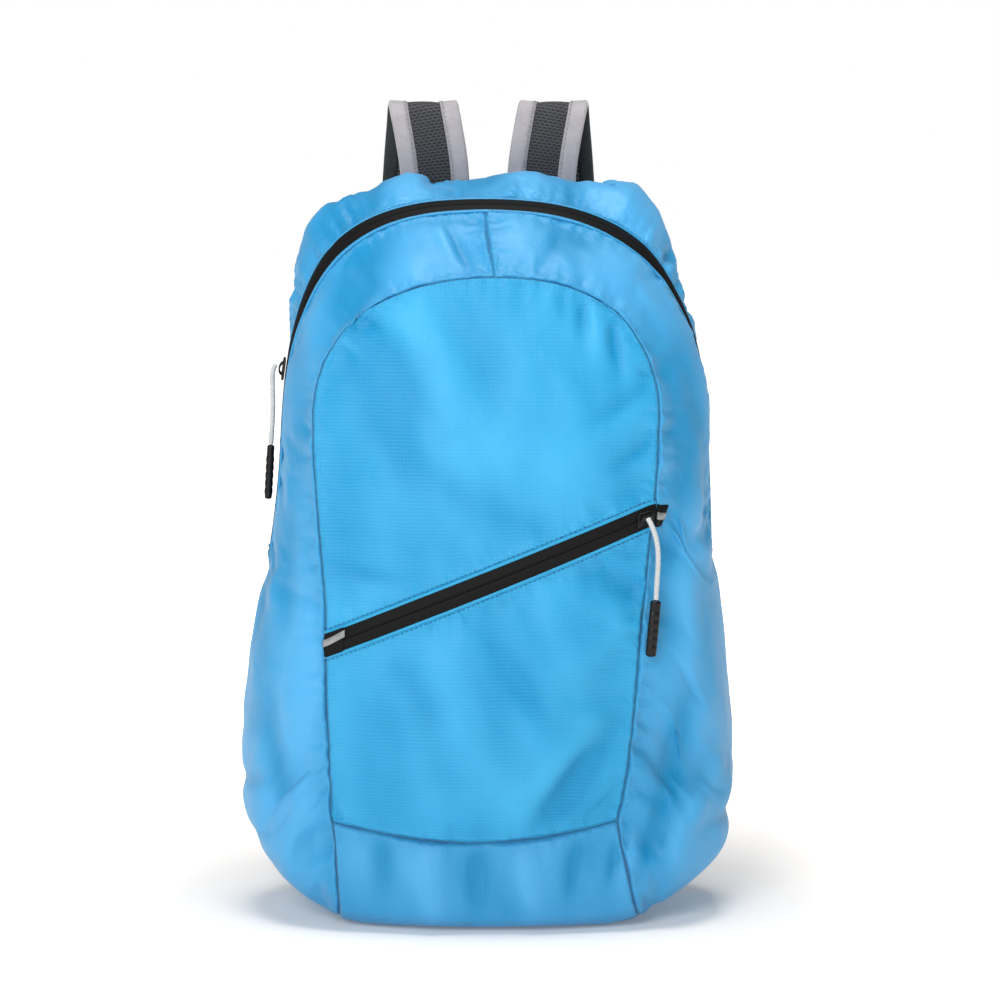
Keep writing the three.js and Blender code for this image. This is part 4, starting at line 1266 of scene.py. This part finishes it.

# %% [markdown]
# ## Seam lines
# A plain seam shows as a thin dark line, where the two edges turn under and the thread pulls them
# together. A very thin dark strand along the bottom of each groove gives that line: it stands partly
# for the thread and partly for painted shade in the groove.

# %% Seam lines
seam_outline = oval(0.0002, 0.0002, 6)
plain_seams = {
    "front_seam_upper": ("front_panel_upper", "side_gusset_left", "side_gusset_right"),
    "front_seam_lower": ("front_panel_lower", "side_gusset_left", "side_gusset_right", "base_panel"),
    "top_middle_seam": ("side_gusset_left", "side_gusset_right"),
    "back_seam": ("back_panel", "side_gusset_left", "side_gusset_right", "rear_gusset", "base_panel"),
    "base_seam_left": ("base_panel", "side_gusset_left"),
    "base_seam_right": ("base_panel", "side_gusset_right"),
}
# Each strand is partly thread and partly painted shade at the bottom of its seam groove.
for name, panels in plain_seams.items():
    strand = run_along(name, seam_outline, edge_stations(seam_line(*panels)))
    dress(strand, dark_blue_thread if name != "top_middle_seam" else blue_thread, "plain_cloth")
print("seam lines:", len(plain_seams))

# %% [markdown]
# ## Reading the straps from the CAD part
# The straps have to lie just where the CAD part has them. A strap's CAD solid is a row of equal rings
# of points, so walking the merged mesh from one end cap, neighbour to neighbour, gives the rings in
# order. Each ring's long axis is the strap's width and its short axis is the way it faces. A smooth
# curve through the rings gives finer stations for the detailed pieces.

# %% Walk a strap


def merged_copy(node):
    mesh = bmesh.new()
    mesh.from_mesh(cad_nodes[node].data)
    bmesh.ops.remove_doubles(mesh, verts=mesh.verts, dist=1e-5)
    mesh.normal_update()
    return mesh


def end_cap(mesh, look):
    """The points of the end face that looks furthest that way."""
    facing = [face for face in mesh.faces if face.normal.dot(look) > 0.75]
    start = max(facing, key=lambda face: face.calc_center_median().dot(look))
    cap, todo = {start}, [start]
    while todo:
        for edge in todo.pop().edges:
            for face in edge.link_faces:
                if face not in cap and face.normal.dot(start.normal) > 0.99:
                    cap.add(face)
                    todo.append(face)
    return {vert for face in cap for vert in face.verts}


def walk_rings(node, look):
    """The rings of points of a strap's solid, from the end that looks that way."""
    mesh = merged_copy(node)
    ring = end_cap(mesh, Vector(look))
    rings, seen = [], set(ring)
    while ring:
        rings.append([vert.co.copy() for vert in ring])
        ring = {e.other_vert(v) for v in ring for e in v.link_edges} - seen
        seen |= ring
    mesh.free()
    return rings


def stations_of(node, look, finer=4):
    """Fine stations along a strap's solid, with unit across and out directions."""
    centres, acrosses, outs = [], [], []
    for ring in walk_rings(node, look):
        points = np.array([tuple(p) for p in ring])
        centre = points.mean(axis=0)
        axes = np.linalg.svd(points - centre)[2]
        across, out = Vector(axes[0]), Vector(axes[1])
        reference = (acrosses[-1], outs[-1]) if acrosses else (Vector((1, 0, 0)), Vector((0, 1, 0)))
        centres.append(Vector(centre))
        acrosses.append(across if across.dot(reference[0]) > 0 else -across)
        outs.append(out if out.dot(reference[1]) > 0 else -out)
    fine_rows = [through(column, finer) for column in (centres, acrosses, outs)]
    stations = []
    for centre, across, out in zip(*fine_rows):
        across = unit(across)
        stations.append((centre, across, unit(out - out.project(across))))
    return stations


sides = ("left", "right")
strap_stations = {side: stations_of("strap_pad_" + side, (0, 0, -1)) for side in sides}
print("strap stations:", [len(row) for row in strap_stations.values()])

# %% [markdown]
# ## Strap pads
# Each pad is a thin spacer mesh: a knitted face full of round holes over a plain dark backing, with
# bindings folded over both edges. It is crowned a little between them. The holes are too many to model,
# so the finish draws them from the run map: two offset rows of lines make a honeycomb of spots.

# %% Strap pads
pad_face = [
    (-0.0196, -0.0012),
    (-0.0196, 0.0012),
    (-0.016, 0.0017),
    (-0.0105, 0.0018),
    (-0.005, 0.0024),
]
pad_under = [(0.016, -0.0016), (0.0105, -0.0017)]
pad_outline = whole(pad_face, [(0.0, 0.0026)]) + whole(pad_under, [(0.0, -0.0019)])
mesh_pitch = 0.0031


def air_mesh_finish():
    finish = Finish("air_mesh", (0.035, 0.038, 0.045), 0.7, Sheen_Weight=0.15, Sheen_Roughness=0.5)
    across, along, _ = finish.axes(finish.pattern("run"))

    def spots(shift):
        x = (across + (shift * mesh_pitch / 2 + 0.1)).away_from_line(mesh_pitch)
        y = (along + shift * mesh_pitch * 0.6).away_from_line(mesh_pitch * 1.2)
        return (x * x * 0.6 + y * y * 1.7).maths("SQRT")

    distance = spots(0).maths("MINIMUM", spots(1))
    hole = ((0.0012 - distance) * 2600).held()
    knit = finish.cloud(finish.stretched(finish.pattern("run"), (1500, 1500, 1)), 1.0, 2.0)
    yarn = finish.blend(knit, (0.02, 0.022, 0.028), (0.075, 0.08, 0.09))
    # The holes are painted near-black: partly the dark backing seen through them, partly painted shade in
    # their depth.
    finish.set(Base_Color=finish.blend(hole, yarn, (0.004, 0.004, 0.005)))
    finish.bumps((1 - hole) * 0.0008 + knit * 0.0003, 1.0, 0.9)
    return finish


def backing_finish():
    finish = Finish("strap_backing", (0.010, 0.016, 0.017), 0.7)
    across, along, _ = finish.axes(finish.pattern("run"))
    uneven = finish.cloud(finish.place(), 0.008, 3.0)
    finish.set(Base_Color=finish.blend(uneven, (0.007, 0.011, 0.012), (0.016, 0.023, 0.024)))
    ribs = across.away_from_line(0.0008) + along.away_from_line(0.0008)
    finish.bumps(ribs * 0.25 + uneven * 0.0006, 1.0, 0.6)
    return finish


air_mesh = air_mesh_finish()
strap_backing = backing_finish()
for side in sides:
    pad = run_along("strap_pad_mesh_" + side, pad_outline, strap_stations[side])
    dress(pad, air_mesh, "mesh", "strap_pad_" + side, under=strap_backing)

# %% [markdown]
# ## Edge bindings
# A grosgrain tape, 10 mm wide on each face, is folded round each edge of the pad and sewn through with
# one row of stitches near its inner edge. Grosgrain has fine ribs across its length.

# %% Bindings
binding_outline = [
    (0.0100, 0.0018),
    (0.0098, 0.0025),
    (0.0140, 0.0027),
    (0.0192, 0.0028),
    (0.0204, 0.0023),
    (0.0210, 0.0010),
    (0.0210, -0.0010),
    (0.0204, -0.0023),
    (0.0192, -0.0028),
    (0.0140, -0.0027),
    (0.0098, -0.0025),
    (0.0100, -0.0018),
    (0.0160, -0.0019),
    (0.0192, -0.0018),
    (0.0201, -0.0010),
    (0.0201, 0.0010),
    (0.0192, 0.0018),
    (0.0160, 0.0019),
]


def binding_finish():
    finish = Finish("binding", (0.3, 0.28, 0.31), 0.7, Sheen_Weight=0.3, Sheen_Roughness=0.5)
    across, along, _ = finish.axes(finish.pattern("run"))
    ribs = along.away_from_line(0.0009) * 2200
    uneven = finish.cloud(finish.place(), 0.006, 3.0)
    tone = finish.blend(uneven, (0.33, 0.31, 0.33), (0.46, 0.435, 0.455))
    finish.set(Base_Color=finish.blend((1 - ribs) * 0.4, tone, (0.2, 0.185, 0.195)))
    finish.bumps(ribs * 0.00022 + uneven * 0.0006, 1.0, 0.7)
    return finish


def tape_backing():
    """The plain blackish face that the same tape turns to the wearer's shoulder."""
    finish = Finish("binding_backing", (0.01, 0.016, 0.017), 0.7)
    along = finish.axes(finish.pattern("run"))[1]
    ribs = along.away_from_line(0.0009) * 2200
    uneven = finish.cloud(finish.place(), 0.006, 3.0)
    finish.set(Base_Color=finish.blend(uneven, (0.007, 0.011, 0.012), (0.016, 0.023, 0.024)))
    finish.bumps(ribs * 0.0002 + uneven * 0.0005, 1.0, 0.7)
    return finish


binding_cloth = binding_finish()
binding_under = tape_backing()
grey_thread = thread_finish("grey_thread", (0.24, 0.23, 0.25))
binding_rows = []
for side, outer in (("left", -1), ("right", 1)):
    for edge, sign in (("outer", outer), ("inner", -outer)):
        outline = binding_outline if sign > 0 else other_half(binding_outline)
        binding = run_along(f"binding_{edge}_{side}", outline, strap_stations[side])
        dress(binding, binding_cloth, "binding", f"strap_binding_{edge}_{side}", under=binding_under)
        for face in (1, -1):
            row = [c + a * sign * 0.0113 + o * face * 0.00258 for c, a, o in strap_stations[side]]
            binding_rows.append((row, [o * face for _, _, o in strap_stations[side]]))
sew("binding_stitches", binding_rows, grey_thread, "binding")

# %% [markdown]
# ## Webbing
# Below each pad a short loop of webbing holds the ladder lock, and a long run goes from the bag's lower
# corner through the lock, with its tail hanging free. Both are flat woven bands, so they are modelled
# straight from their stations: a thin outline with rounded edges, and a finish with ribs along it.

# %% Webbing
band_top = [
    (-0.0100, 0.0002),
    (-0.0096, 0.0006),
    (-0.0060, 0.0007),
    (0.0, 0.00065),
    (0.0060, 0.0007),
    (0.0096, 0.0006),
    (0.0100, 0.0002),
]
band_under = [(-x, -z) for x, z in band_top]
webbing_outline = [band_under[-1], *band_top, *band_under[:-1]]


def webbing_finish():
    finish = Finish("webbing", (0.014, 0.016, 0.019), 0.65, Sheen_Weight=0.25)
    across, along, _ = finish.axes(finish.pattern("run"))
    twill = (across + along * 0.6).away_from_line(0.0016) * 1200
    ribs = across.away_from_line(0.0021) * 900
    uneven = finish.cloud(finish.place(), 0.006, 3.0)
    finish.set(Base_Color=finish.blend(twill * uneven, (0.010, 0.012, 0.014), (0.05, 0.054, 0.06)))
    finish.bumps(twill * 0.0002 + ribs * 0.0001, 1.0, 0.8)
    return finish


webbing_cloth = webbing_finish()
for side in sides:
    for name, look in (("strap_loop_", (0, 0, 1)), ("adjuster_webbing_", (0, 0, -1))):
        band = run_along(name + side + "_band", webbing_outline, stations_of(name + side, look, 3))
        dress(band, webbing_cloth, "webbing", name + side)
print("webbing done")

# %% [markdown]
# ## Ladder locks
# The locks are moulded plastic. Their CAD shape is right, but every edge of a moulding is rounded, so a
# merged copy gets its flat faces joined and its edges bevelled.

# %% Ladder locks


def plastic_finish():
    finish = Finish("moulded_plastic", (0.005, 0.005, 0.0055), 0.3, Specular_IOR_Level=0.22)
    grain = finish.cloud(finish.place(), 0.0007, 2.0)
    smears = finish.cloud(finish.place(), 0.012, 3.0)
    finish.set(Base_Color=finish.blend(smears, (0.003, 0.003, 0.0035), (0.008, 0.008, 0.0085)))
    finish.set(Roughness=0.2 + smears * 0.16)
    finish.bumps(grain * 0.00025, 1.0, 0.5)
    return finish


def rounded_copy(node, name, radius):
    mesh = merged_copy(node)
    bmesh.ops.dissolve_limit(mesh, angle_limit=math.radians(1), verts=mesh.verts, edges=mesh.edges)
    sharp = [e for e in mesh.edges if len(e.link_faces) == 2 and e.calc_face_angle() > math.radians(25)]
    bmesh.ops.bevel(
        mesh,
        geom=sharp,
        offset=radius,
        segments=3,
        profile=0.5,
        affect="EDGES",
        material=-1,
        clamp_overlap=True,
    )
    bmesh.ops.recalc_face_normals(mesh, faces=mesh.faces)
    for face in mesh.faces:
        face.smooth = True
    return as_object(mesh, name)


plastic = plastic_finish()
for side in sides:
    lock = rounded_copy("ladder_lock_" + side, f"ladder_lock_{side}_moulding", 0.0006)
    dress(lock, plastic, "plastic", "ladder_lock_" + side)
print("locks done")

# %% [markdown]
# ## Sliders
# Each slider is a small cast body with a raised bridge that the cord is threaded through. The body
# starts as a cube, is narrowed at its front end and bevelled; the bridge is a flat outline that runs
# over an arch.

# %% Sliders


def nearest_station(stations, place):
    """The zip's station nearest to a place, as (centre, along, across, out)."""
    number = min(range(1, len(stations) - 1), key=lambda k: (stations[k][0] - place).length)
    centre, across, out = stations[number]
    along = unit(stations[number + 1][0] - stations[number - 1][0])
    return centre, along, unit(across), out


def slider_on(name, node, stations):
    low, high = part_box(node)
    middle = (low + high) / 2
    centre, along, across, out = nearest_station(stations, middle)
    lift = min(0.0026, max(0.0017, (middle - centre).dot(out) - 0.0004))
    print(name, "stands", round(lift * 1000, 2), "mm off the middle of its zip")
    turn = Matrix((along, across, out)).transposed().to_4x4()
    turn.translation = centre + out * lift
    body = bmesh.new()
    bmesh.ops.create_cube(body, size=1)
    bmesh.ops.scale(body, vec=(0.0112, 0.0088, 0.0016), verts=body.verts)
    nose = [vert for vert in body.verts if vert.co.x > 0]
    bmesh.ops.scale(body, vec=(1, 0.72, 1), verts=nose)
    bmesh.ops.bevel(
        body, geom=body.edges[:], offset=0.00055, segments=3, profile=0.5, affect="EDGES", material=-1
    )
    bmesh.ops.transform(body, matrix=turn, verts=body.verts)
    bmesh.ops.recalc_face_normals(body, faces=body.faces)
    for face in body.faces:
        face.smooth = True
    shell = as_object(body, name)
    dress(shell, plastic, "plastic", node)
    arch = []
    for angle in np.linspace(math.pi, 0, 13):
        place = turn @ Vector((0.0036 * math.cos(angle), 0, 0.0004 + 0.0021 * math.sin(angle)))
        radial = (turn.to_3x3() @ Vector((math.cos(angle) / 3, 0, math.sin(angle)))).normalized()
        arch.append((place, across, radial))
    strip = whole([(-0.0016, -0.0004), (-0.0016, 0.0002), (-0.0011, 0.0005)])
    bridge = run_along(name + "_bridge", strip, arch)
    dress(bridge, plastic, "plastic")
    return shell


slider_on("pocket_slider_body", "pocket_slider", pocket_zip_stations)
slider_on("main_slider_body", "main_slider", main_zip_stations)
print("sliders done")

# %% [markdown]
# ## Grips
# The grip at the end of each cord is moulded rubber with a row of bumps, so its outline swells and
# shrinks from station to station. Near its two ends it closes along a quarter of a circle.

# %% Grips
grip_bumps = 5
closing_from = 0.93


def grip_on(name, node, hang_from, lean):
    low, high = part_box(node)
    length = (high - low).length * 0.985
    down = unit(Vector(lean))
    out = unit(Vector((0, -1, 0)) - Vector((0, -1, 0)).project(down))
    if node.startswith("main"):
        out = unit(Vector((-1, 0, 0)) - Vector((-1, 0, 0)).project(down))
    across = down.cross(out)
    top = hang_from + down * 0.0004
    stations = []
    for share in np.linspace(0, 1, 61):
        width, depth = 0.0031, 0.0022
        if 0.2 < share < 0.93:
            wave = abs(math.sin((share - 0.2) / 0.73 * grip_bumps * math.pi))
            width += 0.00012 * wave
            depth += 0.0003 * wave
        from_middle = abs(share - 0.5) * 2
        if from_middle > closing_from:
            closed = (from_middle - closing_from) / (1 - closing_from)
            left_open = max(math.sqrt(max(0, 1 - closed**2)), 0.45)
            width *= left_open
            depth *= left_open
        stations.append((top + down * length * share, across * width, out * depth))
    outline = []
    for angle in np.linspace(0, 2 * math.pi, 17)[:-1]:
        c, s = math.cos(angle), math.sin(angle)
        outline.append((math.copysign(abs(c) ** 0.7, c), math.copysign(abs(s) ** 0.7, s)))
    grip = run_along(name, outline, stations)
    return dress(grip, plastic, "plastic", node)


pocket_grip = grip_on("pocket_grip", "pocket_pull_grip", pocket_route[-1], (-0.09, -0.02, -1))
main_grip = grip_on("main_grip", "main_pull_grip", main_route[-1], (-0.06, 0, -1))

# %% [markdown]
# ## The cords' finish
# A braided cord shows two sets of yarns that wind round it in opposite ways. A curve carries its own
# map, along it and round it, so the braid is two rows of slanted lines on that map. Each cord then gets
# this finish and its body, and the CAD cord under it is hidden.

# %% Cord finish


def cord_finish():
    finish = Finish("braided_cord", (0.58, 0.6, 0.6), 0.6, Sheen_Weight=0.2)
    along, around, _ = finish.axes(finish.node("ShaderNodeTexCoord", {}, {}, out="UV"))
    right = (along * 16 + around * 2).away_from_line(1.0)
    left = (along * 16 - around * 2 + 9).away_from_line(1.0)
    braid = right.maths("MAXIMUM", left)
    soil = finish.cloud(finish.place(), 0.005, 3.0)
    tone = finish.blend(soil, (0.42, 0.43, 0.43), (0.62, 0.64, 0.64))
    finish.set(Base_Color=finish.blend((1 - braid * 2) * 0.35, tone, (0.34, 0.35, 0.36)))
    finish.bumps(braid * 0.0004, 1.0, 0.8)
    return finish


cord_cloth = cord_finish()
for cord, node, grip, route, length in (
    (pocket_cord, "pocket_pull_cord", pocket_grip, pocket_route, pocket_cord_length),
    (main_cord, "main_pull_cord", main_grip, main_route, main_cord_length),
):
    cord.data.materials.append(cord_cloth.material)
    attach(cord, "root")
    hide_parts(node)
    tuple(route[0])

# %% [markdown]
# ## Tabs at the ends of the pocket zip
# A short tab of the coated tape, folded over, covers each end of the pocket zip, with a strip of grey
# reflective tape sewn on it. The left tab is a rounded copy of the CAD's thin plate. Its stripe, and
# the right tab with its own, are flat outlines that run over the cloth. The stripes' finish has fine
# glass beads.

# %% End tabs


def reflective_finish():
    finish = Finish("reflective", (0.33, 0.34, 0.35), 0.35, Metallic=0.3)
    beads = finish.cloud(finish.place(), 0.0006, 2.0)
    soil = finish.cloud(finish.place(), 0.004, 3.0)
    finish.set(Base_Color=finish.blend(soil, (0.17, 0.175, 0.18), (0.34, 0.345, 0.35)))
    finish.set(Roughness=0.3 + beads * 0.3)
    finish.bumps(beads * 0.00015, 1.0, 0.5)
    return finish


reflective = reflective_finish()
tab = rounded_copy("zip_tab_left", "zip_tab_left_cloth", 0.0003)
dress(tab, zip_tape, "zip_tape", "zip_tab_left")
stripe_length = 0.0155
stripe_stations = []
for centre, across, out in pocket_zip_stations:
    gone = (centre - pocket_zip_stations[0][0]).length
    if gone < stripe_length:
        up = unit(across) * (1 if across.z > 0 else -1)
        spot = centre + up * (0.0008 + 0.16 * gone) + out * (0.0019 + 0.05 * gone)
        stripe_stations.append((spot, up * 0.0021, out))
stripe_outline = whole([(-1, -0.0003), (-1, 0.0002), (-0.93, 0.0004)])
stripe = run_along("reflective_tape_left", stripe_outline, stripe_stations)
dress(stripe, reflective, "reflective", "reflective_stripe_left")
tab_reach = 0.0082
tab_outline = whole([(-1, -0.0004), (-1, 0.0003), (-0.94, 0.0006)])


def loop_tab(name, half_height, lift, finish, slot, node):
    """A folded tab that stands out to the right of the front seam and bends over at its end."""
    start = pocket_zip_stations[-1][0] + Vector((0.0012, 0, -0.0004))
    lead = Vector((1, 0.35, -0.3)) * tab_reach
    upright = Vector((0.18, 0, 1))
    stations = []
    for share in np.linspace(0, 1, 9):
        spot, normal = on_cloth(start + lead * share)
        up = unit(upright - upright.project(normal)) * half_height
        stations.append((spot + normal * (lift + 0.0006 * share), up, normal))
    last, up, normal = stations[-1]
    ahead = (last - stations[-2][0]).normalized()
    turned = unit(ahead * 2 - normal.cross(up).cross(up))
    stations.append((last + ahead * 0.0005 - normal * 0.0004, up * 0.97, turned))
    return dress(run_along(name, tab_outline, stations), finish, slot, node)


tape, stripes = (zip_tape, "zip_tape"), (reflective, "reflective")
loop_tab("zip_tab_right_cloth", 0.0066, 0.0009, *tape, "zip_tab_right")
loop_tab("reflective_tape_right", 0.0022, 0.0014, *stripes, "reflective_stripe_right")
print("tabs done")

# %% [markdown]
# ## Finish
# The working copies of the skin are removed.

# %% Finish
fine.free()
bpy.data.objects.remove(cloth)
